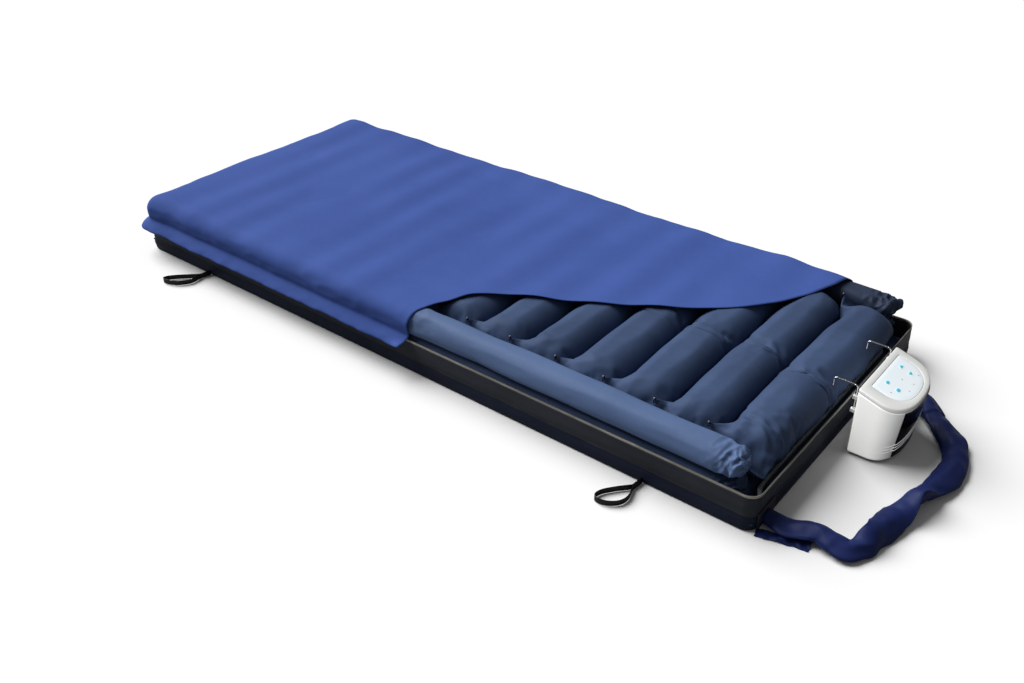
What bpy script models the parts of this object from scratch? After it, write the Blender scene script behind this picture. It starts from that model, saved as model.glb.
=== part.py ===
"""Alternating-air pressure relief mattress with its cutaway cover, hose sleeve and bedside pump.

Metres, +Z up. +X runs to the foot end and +Y to the far side. The origin is the centre of the
base cover's underside, on the surface that everything stands on.
"""

import math

import bmesh
import bpy
from mathutils import Matrix, Vector

GAP = 0.0003  # between solids that touch
EDGE = 0.0006  # between a cell and the next, and around a piece let into a hole

# Base cover: the coated tray that holds the layers
LENGTH = 2.0
WIDTH = 0.85
TRAY_HEIGHT = 0.085
TRAY_WALL = 0.002
CORNER_RADIUS = 0.030
LEAST_CORNER = 0.001  # a ring drawn far inward keeps corners this round
TRAY_BOTTOM_EDGE = 0.004

# Zip round the tray's rim
TAPE_HEIGHT = 0.006
TAPE_THICKNESS = 0.0015
SLIDER_LENGTH = 0.010
SLIDER_HEIGHT = 0.011
SLIDER_DEPTH = 0.0045
SLIDER_X = -0.020
PULL_LENGTH = 0.020

# Layers inside the tray
PAD_TOP = 0.045
PAD_CLEARANCE = 0.0015
PAD_NOTCH_LENGTH = 0.047
PAD_NOTCH_WIDTH = 0.112
BOLSTER_WIDTH = 0.077
LOWER_BOLSTER_TOP = 0.0985
UPPER_BOLSTER_TOP = 0.1617
BOLSTER_END_TAPER = 0.045
BOLSTER_HEAD_SPACE = 0.015
BOLSTER_FOOT_SPACE = 0.045
CELL_COUNT = 15
CELL_TOP = 0.163
CELL_END_SPACE = 0.015
CELL_END_SHIFT = 0.018  # the welded end is dragged this far towards the head
WELD_HEIGHT = 0.118

# Air lines
LINE_RADIUS = 0.005
LINE_SPACING = 0.013
LINE_FOOT_SPACE = 0.034

# Top cover
COVER_THICKNESS = 0.002
SHOULDER_EASE = 0.0085  # the shoulder is rounder than the side bolster under it by this much
SHOULDER_RADIUS = BOLSTER_WIDTH / 2 + SHOULDER_EASE
SHOULDER_START = 0.1304
COVER_EASE = 0.0025
FLAP_ABOVE_RIM = 0.019
FLAP_PROFILE = (  # distance out from the tray's wall, distance below the flap's seam
    (0.0190, 0.066),
    (0.0180, 0.049),
    (0.0165, 0.029),
    (0.0120, 0.010),
    (0.0028, 0.000),
)

# Where the cover is cut away, seen from above: shares of the half length and the half width
COVER_EDGE = (
    (0.060, -1.106),
    (0.068, -1.000),
    (0.077, -0.906),
    (0.101, -0.762),
    (0.165, -0.546),
    (0.375, -0.268),
    (0.560, -0.002),
    (0.700, 0.306),
    (0.790, 0.682),
    (0.822, 0.941),
    (0.830, 1.106),
)

# Webbing loops: share of the half length where each is sewn, and sideways lean of its end
LOOPS = (("head", -0.722, -0.060), ("foot", 0.741, -0.035))
WEBBING_WIDTH = 0.025
WEBBING_THICKNESS = 0.0016
LOOP_LENGTH = 0.112
LOOP_NECK = 0.040
LOOP_HALF_WIDTH = 0.021

# Deflation valve in the head wall
VALVE_Y = 0.250
VALVE_Z = 0.0565
VALVE_RADIUS = 0.010
VALVE_FLANGE_RADIUS = 0.018
VALVE_FLANGE = 0.0032
VALVE_DEPTH = 0.022
KNOB_RADIUS = 0.015
KNOB_DEPTH = 0.006

# Hose outlet in the foot wall and the sleeve's route to the pump
OUTLET_FROM_SIDE = 0.054
OUTLET_Y = -WIDTH / 2 + OUTLET_FROM_SIDE
OUTLET_Z = 0.024
OUTLET_WIDTH = 0.042
OUTLET_HEIGHT = 0.018
COLLAR_WIDTH = 0.074
COLLAR_HEIGHT = 0.042
COLLAR_THICKNESS = 0.003
SLEEVE_RADIUS = 0.020
SLEEVE_STEP = 0.034
SLEEVE_ROUTE = (  # its first and last stretches are straight
    (1.0036, -0.371, 0.0205),
    (1.026, -0.371, 0.0205),
    (1.050, -0.372, 0.0205),
    (1.078, -0.363, 0.0205),
    (1.110, -0.354, 0.0205),
    (1.142, -0.357, 0.0205),
    (1.172, -0.359, 0.0205),
    (1.194, -0.324, 0.0205),
    (1.203, -0.262, 0.0205),
    (1.212, -0.192, 0.0205),
    (1.232, -0.100, 0.0205),
    (1.2475, -0.030, 0.0205),
    (1.245, 0.030, 0.0205),
    (1.223, 0.094, 0.0205),
    (1.187, 0.138, 0.0205),
    (1.152, 0.173, 0.0205),
    (1.124, 0.202, 0.0215),
    (1.100, 0.214, 0.0250),
    (1.085, 0.197, 0.0290),
    (1.085, 0.1656, 0.0290),
)

# Flap sewn to the tray beside the sleeve
TAG_LENGTH = 0.112
TAG_WIDTH = 0.026
TAG_THICKNESS = 0.0016
TAG_FROM_SIDE = 0.0135
TAG_Y = -WIDTH / 2 + TAG_FROM_SIDE
TAG_TURN = math.radians(14)

# Pump case: a D in plan, flat back towards the mattress, with a sloping top
PUMP_SPACE = 0.040
PUMP_X = LENGTH / 2 + PUMP_SPACE
PUMP_Y = 0.041
PUMP_HEIGHT = 0.178
PUMP_SLOPE = 0.3157
PUMP_HALF_WIDTH = 0.106
PUMP_DEPTH = 0.1065
PUMP_FOOT_HALF_WIDTH = 0.098
PUMP_FOOT_DEPTH = 0.095
PUMP_STRAIGHT = 0.43  # share of the depth before the front starts to round
PUMP_ROUNDING = 2.4
PUMP_WALL = 0.0025
PUMP_BOTTOM = 0.004
LID_HEIGHT = 0.010
SLOPE_ANGLE = math.atan(PUMP_SLOPE)

# Control panel let into the lid
PANEL_BACK = 0.015
PANEL_FRONT = 0.094
PANEL_HALF_WIDTH = 0.077
PANEL_SHIFT = 0.006
PANEL_RECESS = 0.0024
PANEL_THICKNESS = 0.0017
KEY_PLACES = ((0.034, 0.049), (0.058, 0.047), (0.034, -0.029), (0.060, -0.031))
KEY_SIZE = (0.013, 0.017)
KEY_THICKNESS = 0.0024
KEY_TRAVEL = 0.0005

FRONT_PANEL_HALF_WIDTH = 0.067
FRONT_PANEL_THICKNESS = 0.0012
FOOT_SIZE = (0.010, 0.120)

# Back of the pump
BACK_PLATE_THICKNESS = 0.0012
BACK_PLATE_HALF_WIDTH = 0.0975
BACK_PLATE_HEIGHTS = (0.014, 0.151)
HOOK_SPREAD = 0.092
HOOK_WIRE_RADIUS = 0.002
HOOK_AXIS_OUT = 0.0075
HOOK_REACH = 0.0535
HOOK_TOP = 0.176
HOOK_TIP = 0.152
HOOK_LEG_BOTTOM = 0.104
HOOK_BEND = 0.008
CLIP_HEIGHTS = (0.112, 0.146)
CLIP_SIZE = (0.0095, 0.009, 0.008)
SWITCH_PLACE = (0.032, 0.045)
SWITCH_SIZE = (0.014, 0.021)
SWITCH_TILT = math.radians(7)
INLET_PLACE = (-0.030, 0.045)
INLET_SIZE = (0.028, 0.021)
INLET_WALL = 0.002
INLET_DEPTH = 0.018

# Inside the pump, from the middle of the case's back
COMPRESSOR_LOW = (0.018, -0.070, 0.0125)
COMPRESSOR_HIGH = (0.066, -0.006, 0.060)
ARMATURE_SLOT = (0.016, 0.036, 0.012)
ARMATURE_STROKE = 0.001
MOUNT_HEIGHT = 0.0055
DISTRIBUTOR_PLACE = (0.045, 0.040)
DISTRIBUTOR_RADIUS = 0.022
DISTRIBUTOR_MOTOR_TOP = 0.024
DISTRIBUTOR_TOP = 0.040
ROTOR_RADIUS = 0.016
ROTOR_THICKNESS = 0.006
BOARD_HALF_WIDTH = 0.040
BOARD_HEIGHTS = (0.085, 0.130)
BOARD_THICKNESS = 0.0016
BOSS_LENGTH = 0.006
COUPLING_DEPTH = 0.012
COUPLING_SIZE = (0.034, 0.036)
PORT_SIZE = (0.030, 0.028)
PORT_X = 0.045
PORT_Z = 0.030


def clear_scene():
    for old in list(bpy.data.objects):
        bpy.data.objects.remove(old)


def material(name, colour, roughness, metallic=0.0):
    made = bpy.data.materials.new(name)
    made.use_nodes = True
    shader = made.node_tree.nodes["Principled BSDF"]
    shader.inputs["Base Color"].default_value = (*colour, 1.0)
    shader.inputs["Roughness"].default_value = roughness
    shader.inputs["Metallic"].default_value = metallic
    made.diffuse_color = (*colour, 1.0)
    return made


def add(name, data, finish, place=(0, 0, 0), turn=(0, 0, 0)):
    piece = bpy.data.objects.new(name, data)
    piece.location = place
    piece.rotation_euler = turn
    data.materials.append(finish)
    bpy.context.collection.objects.link(piece)
    return piece


def mesh_from(name, form):
    bmesh.ops.recalc_face_normals(form, faces=form.faces)
    data = bpy.data.meshes.new(name)
    form.to_mesh(data)
    form.free()
    data.shade_smooth()
    data.set_sharp_from_angle(angle=math.radians(35))
    return data


def loft(name, rings, finish, place=(0, 0, 0), turn=(0, 0, 0)):
    """A closed solid through rings of equal length, its first and last rings filled."""
    form = bmesh.new()
    rows = [[form.verts.new(point) for point in ring] for ring in rings]
    count = len(rows[0])
    for low, high in zip(rows, rows[1:]):
        for i in range(count):
            j = (i + 1) % count
            form.faces.new((low[i], low[j], high[j], high[i]))
    form.faces.new(rows[0])
    form.faces.new(rows[-1])
    return add(name, mesh_from(name, form), finish, place, turn)


def box(name, low, high, finish, bevel=0.0, place=(0, 0, 0), turn=(0, 0, 0)):
    """A box between two corners, its edges rounded by bevel."""
    form = bmesh.new()
    middle = (Vector(low) + Vector(high)) / 2
    size = Vector(high) - Vector(low)
    shape = Matrix.Translation(middle) @ Matrix.Diagonal((*size, 1.0))
    bmesh.ops.create_cube(form, size=1.0, matrix=shape)
    if bevel:
        bmesh.ops.bevel(form, geom=form.edges[:], offset=bevel, segments=2, affect="EDGES")
    return add(name, mesh_from(name, form), finish, place, turn)


def cylinder(name, radius, start, end, finish, sides=32, place=(0, 0, 0)):
    """A cylinder along the straight line from start to end."""
    start, end = Vector(start), Vector(end)
    along = end - start
    form = bmesh.new()
    shape = Matrix.Translation((start + end) / 2) @ along.to_track_quat("Z", "Y").to_matrix().to_4x4()
    bmesh.ops.create_cone(
        form, cap_ends=True, segments=sides, radius1=radius, radius2=radius, depth=along.length, matrix=shape
    )
    return add(name, mesh_from(name, form), finish, place)


def combine(piece, other, operation):
    """Joins other to piece, or cuts it out, and leaves other as an unrendered guide."""
    step = piece.modifiers.new(other.name, "BOOLEAN")
    step.operation = operation
    step.object = other
    other.hide_render = True
    other.display_type = "WIRE"
    return piece


def rounded_rectangle(half_x, half_y, radius, steps=6):
    """Outline of a rectangle whose corners are quarter circles."""
    points = []
    for corner, (sx, sy) in enumerate(((1, 1), (-1, 1), (-1, -1), (1, -1))):
        for step in range(steps + 1):
            angle = math.radians(90 * (corner + step / steps))
            x = sx * (half_x - radius) + radius * math.cos(angle)
            y = sy * (half_y - radius) + radius * math.sin(angle)
            points.append((x, y))
    return points


def tray_ring(outward, z):
    """The tray's outline moved outward, or inward where negative, at height z."""
    share = 1.0 if outward > 0 else 0.6
    radius = max(CORNER_RADIUS + share * outward, LEAST_CORNER)
    outline = rounded_rectangle(LENGTH / 2 + outward, WIDTH / 2 + outward, radius)
    return [(x, y, z) for x, y in outline]


def oval(half_u, half_v, steps=20, power=2.0):
    """A superellipse; power 2 is an ellipse and more is squarer."""
    points = []
    for step in range(steps):
        angle = 2 * math.pi * step / steps
        c, s = math.cos(angle), math.sin(angle)
        u = math.copysign(abs(c) ** (2 / power), c) * half_u
        v = math.copysign(abs(s) ** (2 / power), s) * half_v
        points.append((u, v))
    return points


def smooth_line(points, step):
    """Points about a step apart on the Catmull-Rom curve through the given points."""
    points = [Vector(p) for p in points]
    ends = [2 * points[0] - points[1], *points, 2 * points[-1] - points[-2]]
    fine = [points[0]]
    for a, b, c, d in zip(ends, ends[1:], ends[2:], ends[3:]):
        for i in range(1, 25):
            t = i / 24
            fine.append(
                0.5 * (2 * b + (c - a) * t + (2 * a - 5 * b + 4 * c - d) * t**2 + (3 * b - a - 3 * c + d) * t**3)
            )
    lengths = [0.0]
    for a, b in zip(fine, fine[1:]):
        lengths.append(lengths[-1] + (b - a).length)
    count = max(2, round(lengths[-1] / step))
    line, i = [], 0
    for k in range(count + 1):
        want = lengths[-1] * k / count
        while i < len(fine) - 2 and lengths[i + 1] < want:
            i += 1
        part = (want - lengths[i]) / max(lengths[i + 1] - lengths[i], 1e-9)
        line.append(fine[i].lerp(fine[i + 1], min(part, 1.0)))
    return line


def tube(name, points, radius, finish, sides=2, place=(0, 0, 0)):
    """A round tube or wire along a line of points."""
    data = bpy.data.curves.new(name, "CURVE")
    data.dimensions = "3D"
    data.bevel_depth = radius
    data.bevel_resolution = sides
    data.use_fill_caps = True
    spline = data.splines.new("POLY")
    spline.points.add(len(points) - 1)
    for slot, point in zip(spline.points, points):
        slot.co = (*point, 1.0)
    return add(name, data, finish, place)


def bent(corners, radius, steps=5):
    """A line through the corners with each inner corner rounded by an arc."""
    corners = [Vector(c) for c in corners]
    line = [corners[0]]
    for before, corner, after in zip(corners, corners[1:], corners[2:]):
        come, go = (corner - before).normalized(), (after - corner).normalized()
        turn = come.angle(go)
        cut = radius * math.tan(turn / 2)
        start = corner - come * cut
        inward = (go - come * come.dot(go)).normalized()
        centre = start + inward * radius
        for step in range(steps + 1):
            angle = turn * step / steps
            line.append(centre - inward * radius * math.cos(angle) + come * radius * math.sin(angle))
    line.append(corners[-1])
    return line


# --- Mattress ---------------------------------------------------------------------------------


def base_cover(finish):
    """The tray: floor and four walls of coated fabric, with holes for the hoses and the valve."""
    rings = [
        tray_ring(-TRAY_BOTTOM_EDGE, 0.0),
        tray_ring(0.0, TRAY_BOTTOM_EDGE),
        tray_ring(0.0, TRAY_HEIGHT),
        tray_ring(-TRAY_WALL, TRAY_HEIGHT),
        tray_ring(-TRAY_WALL, TRAY_BOTTOM_EDGE),
        tray_ring(-TRAY_BOTTOM_EDGE - TRAY_WALL, TRAY_WALL),
    ]
    tray = loft("base_cover", rings, finish)
    reach = 3 * TRAY_WALL
    half = (OUTLET_WIDTH / 2 + EDGE, OUTLET_HEIGHT / 2 + EDGE)
    low = (LENGTH / 2 - reach, OUTLET_Y - half[0], OUTLET_Z - half[1])
    high = (LENGTH / 2 + reach, OUTLET_Y + half[0], OUTLET_Z + half[1])
    combine(tray, box("outlet_hole", low, high, finish), "DIFFERENCE")
    ends = [(-LENGTH / 2 + way * reach, VALVE_Y, VALVE_Z) for way in (-1, 1)]
    combine(tray, cylinder("valve_hole", VALVE_RADIUS + EDGE, *ends, finish), "DIFFERENCE")


def zip_parts(tape_finish, slider_finish):
    """The lower tape, standing on the tray's rim, and the slider with its hanging pull."""
    low, high = TRAY_HEIGHT + GAP, TRAY_HEIGHT + GAP + TAPE_HEIGHT
    outer, inner = -GAP, -GAP - TAPE_THICKNESS
    rings = [tray_ring(outer, low), tray_ring(outer, high), tray_ring(inner, high), tray_ring(inner, low)]
    form = bmesh.new()
    rows = [[form.verts.new(point) for point in ring] for ring in rings]
    count = len(rows[0])
    for here, there in zip(rows, rows[1:] + rows[:1]):
        for i in range(count):
            j = (i + 1) % count
            form.faces.new((here[i], here[j], there[j], there[i]))
    add("zip_tape", mesh_from("zip_tape", form), tape_finish)

    face = -WIDTH / 2 - GAP
    middle = (low + high) / 2
    slider = box(
        "zip_slider",
        (-SLIDER_LENGTH / 2, -SLIDER_DEPTH, -SLIDER_HEIGHT / 2),
        (SLIDER_LENGTH / 2, 0, SLIDER_HEIGHT / 2),
        slider_finish,
        bevel=0.001,
        place=(SLIDER_X, face, middle),
    )
    pull = box(
        "pull_tab",
        (-SLIDER_LENGTH / 4, -SLIDER_DEPTH * 0.75, -SLIDER_HEIGHT / 2 - PULL_LENGTH),
        (SLIDER_LENGTH / 4, -SLIDER_DEPTH * 0.4, 0),
        slider_finish,
        place=(SLIDER_X, face, middle),
    )
    combine(slider, pull, "UNION")


def top_cover(finish):
    """The stretch cover: top, rounded shoulders, sides and flared hem flap, cut along its edge."""
    seam = TRAY_HEIGHT + FLAP_ABOVE_RIM
    outer = [(out, seam - below) for out, below in FLAP_PROFILE] + [(COVER_EASE, SHOULDER_START)]
    top = CELL_TOP + GAP
    inner = [(out - COVER_THICKNESS, z) for out, z in outer]

    def shoulder(edge, radius, height):
        turns = [math.radians(a) for a in (22, 44, 66, 90)]
        return [(edge - radius * (1 - math.cos(a)), SHOULDER_START + height * math.sin(a)) for a in turns]

    rise = top - SHOULDER_START
    outside = outer + shoulder(outer[-1][0], SHOULDER_RADIUS, rise + COVER_THICKNESS)
    inside = inner + shoulder(inner[-1][0], SHOULDER_RADIUS - COVER_THICKNESS, rise)
    rings = [tray_ring(*step) for step in reversed(outside)] + [tray_ring(*step) for step in inside]
    cover = loft("top_cover", rings, finish)

    edge = smooth_line([(x * LENGTH / 2, y * WIDTH / 2, 0.0) for x, y in COVER_EDGE], 0.03)
    beyond = LENGTH / 2 + 2 * SHOULDER_RADIUS
    outline = [(p.x, p.y) for p in edge] + [(beyond, edge[-1].y), (beyond, edge[0].y)]
    cutter = loft("cutaway", [[(x, y, z) for x, y in outline] for z in (0.0, 2 * CELL_TOP)], finish)
    combine(cover, cutter, "DIFFERENCE")


def base_pad(finish):
    """The static layer under the cells, notched where the hoses leave."""
    side = -TRAY_WALL - PAD_CLEARANCE
    low = TRAY_WALL + GAP
    soft = TRAY_BOTTOM_EDGE
    rings = [
        tray_ring(side - soft, low),
        tray_ring(side, low + soft),
        tray_ring(side, PAD_TOP - soft),
        tray_ring(side - soft, PAD_TOP),
    ]
    pad = loft("base_pad", rings, finish)
    corner = (LENGTH / 2 - PAD_NOTCH_LENGTH, -WIDTH / 2 + PAD_NOTCH_WIDTH)
    notch = box("hose_notch", (corner[0], -WIDTH, -PAD_TOP), (LENGTH, corner[1], 2 * PAD_TOP), finish)
    combine(pad, notch, "DIFFERENCE")


def bolster(name, side, low, high, power, finish):
    """A full-length side tube with gathered ends."""
    middle = side * (WIDTH / 2 - TRAY_WALL - PAD_CLEARANCE - BOLSTER_WIDTH / 2)
    height = (high - low) / 2
    start = -LENGTH / 2 + BOLSTER_HEAD_SPACE
    end = LENGTH / 2 - BOLSTER_FOOT_SPACE
    stations = []
    for share, size in ((0.0, 0.55), (0.15, 0.72), (0.45, 0.88), (1.0, 1.0)):
        stations.append((start + share * BOLSTER_END_TAPER, size))
    stations += [(start + end - x, size) for x, size in reversed(stations)]
    rings = []
    for x, size in stations:
        section = oval(BOLSTER_WIDTH / 2 * size, height * size, power=power)
        rings.append([(x, middle + u, (low + high) / 2 + v) for u, v in section])
    loft(name, rings, finish)


def cell_pitch():
    return (LENGTH - 2 * CELL_END_SPACE) / CELL_COUNT


def air_cell(number, finish):
    """One transverse air cell, round along its middle and welded flat at both ends."""
    pitch = cell_pitch()
    centre = -LENGTH / 2 + CELL_END_SPACE + pitch * (number - 0.5)
    low = PAD_TOP + GAP
    half = (CELL_TOP - low) / 2
    middle = (CELL_TOP + low) / 2
    reach = WIDTH / 2 - TRAY_WALL - PAD_CLEARANCE - BOLSTER_WIDTH - EDGE
    full = (pitch - EDGE) / 2
    # distance from the welded end, share of the width, share of the height, share of the drag
    ends = (
        (0.000, 0.76, 0.09, 1.00),
        (0.010, 0.80, 0.22, 0.85),
        (0.029, 0.90, 0.52, 0.55),
        (0.059, 0.98, 0.86, 0.20),
        (0.094, 1.00, 1.00, 0.00),
    )
    stations = [(-reach + d, w, h, s) for d, w, h, s in ends]
    stations += [(-y, w, h, s) for y, w, h, s in reversed(stations)]
    rings = []
    for y, width, height, drag in stations:
        z = middle + (WELD_HEIGHT - middle) * (1 - height) / (1 - ends[0][2])
        section = oval(full * width, half * height)
        rings.append([(centre - drag * CELL_END_SHIFT + u, y, z + v) for u, v in section])
    loft(f"air_cell_{number:02d}", rings, finish)


def air_lines(finish):
    """The two supply lines: along the far side, across the foot and into the hose outlet."""
    height = PAD_TOP + GAP + LINE_RADIUS
    inside = WIDTH / 2 - TRAY_WALL - PAD_CLEARANCE - BOLSTER_WIDTH
    outlet = LENGTH / 2 - 2 * TRAY_WALL - 2 * GAP
    for number, name in enumerate(("air_line_a", "air_line_b")):
        y = inside - LINE_SPACING * (1.6 - number)
        x = LENGTH / 2 - LINE_FOOT_SPACE + 1.4 * LINE_SPACING * number
        side = OUTLET_Y + (0.5 - number) * 1.4 * LINE_SPACING
        start = -LENGTH / 2 + 0.06 + 0.02 * number
        turn_y = OUTLET_Y + 0.055 - 0.012 * number
        straight = bent([(start, y, height), (x, y, height), (x, turn_y, height)], 0.025)
        drop = [
            (x, turn_y, height),
            (x + 0.002, turn_y - 0.022, height - 0.006),
            ((x + outlet) / 2, side + 0.006, OUTLET_Z + 0.009),
            (outlet - LINE_RADIUS, side, OUTLET_Z),
        ]
        end = Vector((outlet, side, OUTLET_Z))
        tube(name, straight[:-1] + smooth_line(drop, 0.008) + [end], LINE_RADIUS, finish)


def webbing_loop(name, side, x, lean, finish):
    """A carrying loop: one strap stood on edge, sewn to the side wall by both its ends."""
    half_gap = WEBBING_THICKNESS / 2 + GAP
    centre = LOOP_LENGTH - (LOOP_LENGTH - LOOP_NECK) / 2
    half_length = (LOOP_LENGTH - LOOP_NECK) / 2
    line = [(GAP, half_gap), (LOOP_NECK / 2, half_gap)]
    turns = 28
    for step in range(turns + 1):
        t = math.radians(14 + (360 - 28) * step / turns)
        out = centre - half_length * math.cos(t)
        across = LOOP_HALF_WIDTH * math.sin(t) * math.sin(t / 2) ** 1.2
        line.append((out, math.copysign(max(abs(across), half_gap), across)))
    line += [(LOOP_NECK / 2, -half_gap), (GAP, -half_gap)]
    path = [Vector((u, v + lean * (u / LOOP_LENGTH) ** 2)) for u, v in line]
    left, right = [], []
    for i, point in enumerate(path):
        along = path[min(i + 1, len(path) - 1)] - path[max(i - 1, 0)]
        if i in (0, len(path) - 1):
            along = Vector((1 if i == 0 else -1, 0))
        across = Vector((-along.y, along.x)).normalized() * WEBBING_THICKNESS / 2
        left.append(point + across)
        right.append(point - across)
    outline = left + right[::-1]
    rings = []
    for z in (GAP, GAP + WEBBING_WIDTH):
        rings.append([(x + p.y, side * (WIDTH / 2 + p.x), z) for p in outline])
    loft(name, rings, finish)


def deflation_valve(body_finish, knob_finish):
    """The quick-deflate valve in the head wall and the knob that turns on it."""
    wall = -LENGTH / 2
    flange_end = wall - GAP - VALVE_FLANGE
    inner = wall + VALVE_DEPTH
    body = cylinder(
        "valve_body", VALVE_RADIUS, (inner, VALVE_Y, VALVE_Z), (wall - 2 * GAP, VALVE_Y, VALVE_Z), body_finish
    )
    flange = cylinder(
        "valve_flange",
        VALVE_FLANGE_RADIUS,
        (wall - GAP, VALVE_Y, VALVE_Z),
        (flange_end, VALVE_Y, VALVE_Z),
        body_finish,
    )
    combine(body, flange, "UNION")
    place = (flange_end - GAP, VALVE_Y, VALVE_Z)
    knob = cylinder("valve_knob", KNOB_RADIUS, (0, 0, 0), (-KNOB_DEPTH / 2, 0, 0), knob_finish, place=place)
    grip = box(
        "knob_grip",
        (-KNOB_DEPTH, -KNOB_RADIUS * 0.8, -0.003),
        (-KNOB_DEPTH / 4, KNOB_RADIUS * 0.8, 0.003),
        knob_finish,
        place=place,
    )
    combine(knob, grip, "UNION")


def hose_outlet(collar_finish, sleeve_finish, tag_finish):
    """The collar in the foot wall, the sleeve over the air hoses and the flap sewn beside it."""
    wall = LENGTH / 2
    half = (OUTLET_WIDTH / 2, OUTLET_HEIGHT / 2)
    collar = box(
        "outlet_collar",
        (wall + GAP, OUTLET_Y - COLLAR_WIDTH / 2, OUTLET_Z - COLLAR_HEIGHT / 2),
        (wall + GAP + COLLAR_THICKNESS, OUTLET_Y + COLLAR_WIDTH / 2, OUTLET_Z + COLLAR_HEIGHT / 2),
        collar_finish,
        bevel=0.001,
    )
    plug = box(
        "collar_plug",
        (wall - 2 * TRAY_WALL, OUTLET_Y - half[0], OUTLET_Z - half[1]),
        (wall + GAP + COLLAR_THICKNESS / 2, OUTLET_Y + half[0], OUTLET_Z + half[1]),
        collar_finish,
    )
    combine(collar, plug, "UNION")
    middle = smooth_line(SLEEVE_ROUTE[1:-1], SLEEVE_STEP)
    tube("hose_sleeve", [SLEEVE_ROUTE[0], *middle, SLEEVE_ROUTE[-1]], SLEEVE_RADIUS, sleeve_finish)
    under_edge = TRAY_BOTTOM_EDGE - TAG_THICKNESS - 3 * GAP
    start = wall - under_edge + TAG_WIDTH / 2 * math.sin(TAG_TURN)
    box(
        "hose_flap",
        (0, -TAG_WIDTH / 2, 0),
        (TAG_LENGTH, TAG_WIDTH / 2, TAG_THICKNESS),
        tag_finish,
        place=(start, TAG_Y, GAP),
        turn=(0, 0, TAG_TURN),
    )


# --- Pump -------------------------------------------------------------------------------------


def lid_height(depth):
    """Height of the pump's sloping top, this far from its back."""
    return PUMP_HEIGHT - PUMP_SLOPE * depth


def d_outline(back, front, half_width, straight, shift=0.0, steps=26):
    """A D in plan: flat back, straight sides, then a superellipse round the front."""
    corner = 0.004
    points = [(back, shift - half_width + corner), (back + corner, shift - half_width)]
    for step in range(steps + 1):
        angle = math.radians(-90 + 180 * step / steps)
        c, s = max(math.cos(angle), 0.0), math.sin(angle)
        depth = straight + (front - straight) * c ** (2 / PUMP_ROUNDING)
        across = half_width * math.copysign(abs(s) ** (2 / PUMP_ROUNDING), s)
        points.append((depth, shift + across))
    points += [(back + corner, shift + half_width), (back, shift + half_width - corner)]
    return points


def case_outline(share, inset):
    """The case's outline between its foot, share 0, and its top, share 1, moved in by inset."""
    half_width = PUMP_FOOT_HALF_WIDTH + share * (PUMP_HALF_WIDTH - PUMP_FOOT_HALF_WIDTH) - inset
    depth = PUMP_FOOT_DEPTH + share * (PUMP_DEPTH - PUMP_FOOT_DEPTH) - inset
    return d_outline(inset, depth, half_width, PUMP_STRAIGHT * depth)


def at_pump(outline, height):
    """An outline set at the pump, its height a number or a rule on the distance from the back."""
    rule = height if callable(height) else (lambda depth: height)
    return [(PUMP_X + d, PUMP_Y + s, rule(d)) for d, s in outline]


def pump_box(name, low, high, finish, bevel=0.0):
    """A box given from the middle of the pump's back."""
    return box(name, low, high, finish, bevel, place=(PUMP_X, PUMP_Y, 0))


def pump_case(finish):
    """The moulded case: a D-shaped cup, open at the top, with bosses for the board."""
    floor = PUMP_BOTTOM + PUMP_WALL
    rim = LID_HEIGHT + GAP
    round_edge = 0.006
    rings = [
        at_pump(case_outline(0.0, round_edge), PUMP_BOTTOM),
        at_pump(case_outline(0.02, round_edge / 4), PUMP_BOTTOM + round_edge / 3),
        at_pump(case_outline(0.04, 0.0), PUMP_BOTTOM + round_edge),
        at_pump(case_outline(1.0, 0.0), lambda d: lid_height(d) - rim),
        at_pump(case_outline(1.0, PUMP_WALL), lambda d: lid_height(d) - rim),
        at_pump(case_outline(0.04, PUMP_WALL), PUMP_BOTTOM + round_edge),
        at_pump(case_outline(0.0, round_edge + PUMP_WALL / 2), floor),
    ]
    case = loft("pump_case", rings, finish)
    middle = sum(BOARD_HEIGHTS) / 2
    for side in (-1, 1):
        y = PUMP_Y + side * BOARD_HALF_WIDTH * 0.7
        start = (PUMP_X + PUMP_WALL / 2, y, middle)
        end = (PUMP_X + PUMP_WALL + BOSS_LENGTH, y, middle)
        combine(case, cylinder(f"board_boss_{side}", 0.004, start, end, finish, sides=16), "UNION")
    for name, place, size in (("switch", SWITCH_PLACE, SWITCH_SIZE), ("inlet", INLET_PLACE, INLET_SIZE)):
        combine(case, back_hole(f"{name}_hole", place, size, finish), "DIFFERENCE")
    port = pump_box(
        "port_hole",
        (PORT_X - PORT_SIZE[0] / 2 - EDGE, PUMP_FOOT_HALF_WIDTH - 0.012, PORT_Z - PORT_SIZE[1] / 2 - EDGE),
        (PORT_X + PORT_SIZE[0] / 2 + EDGE, PUMP_HALF_WIDTH + 0.01, PORT_Z + PORT_SIZE[1] / 2 + EDGE),
        finish,
    )
    combine(case, port, "DIFFERENCE")


def back_hole(name, place, size, finish):
    """A cutter through the back wall and the back plate."""
    half = (size[0] / 2 + EDGE, size[1] / 2 + EDGE)
    return pump_box(
        name,
        (-4 * PUMP_WALL, place[0] - half[0], place[1] - half[1]),
        (4 * PUMP_WALL, place[0] + half[0], place[1] + half[1]),
        finish,
    )


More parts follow.
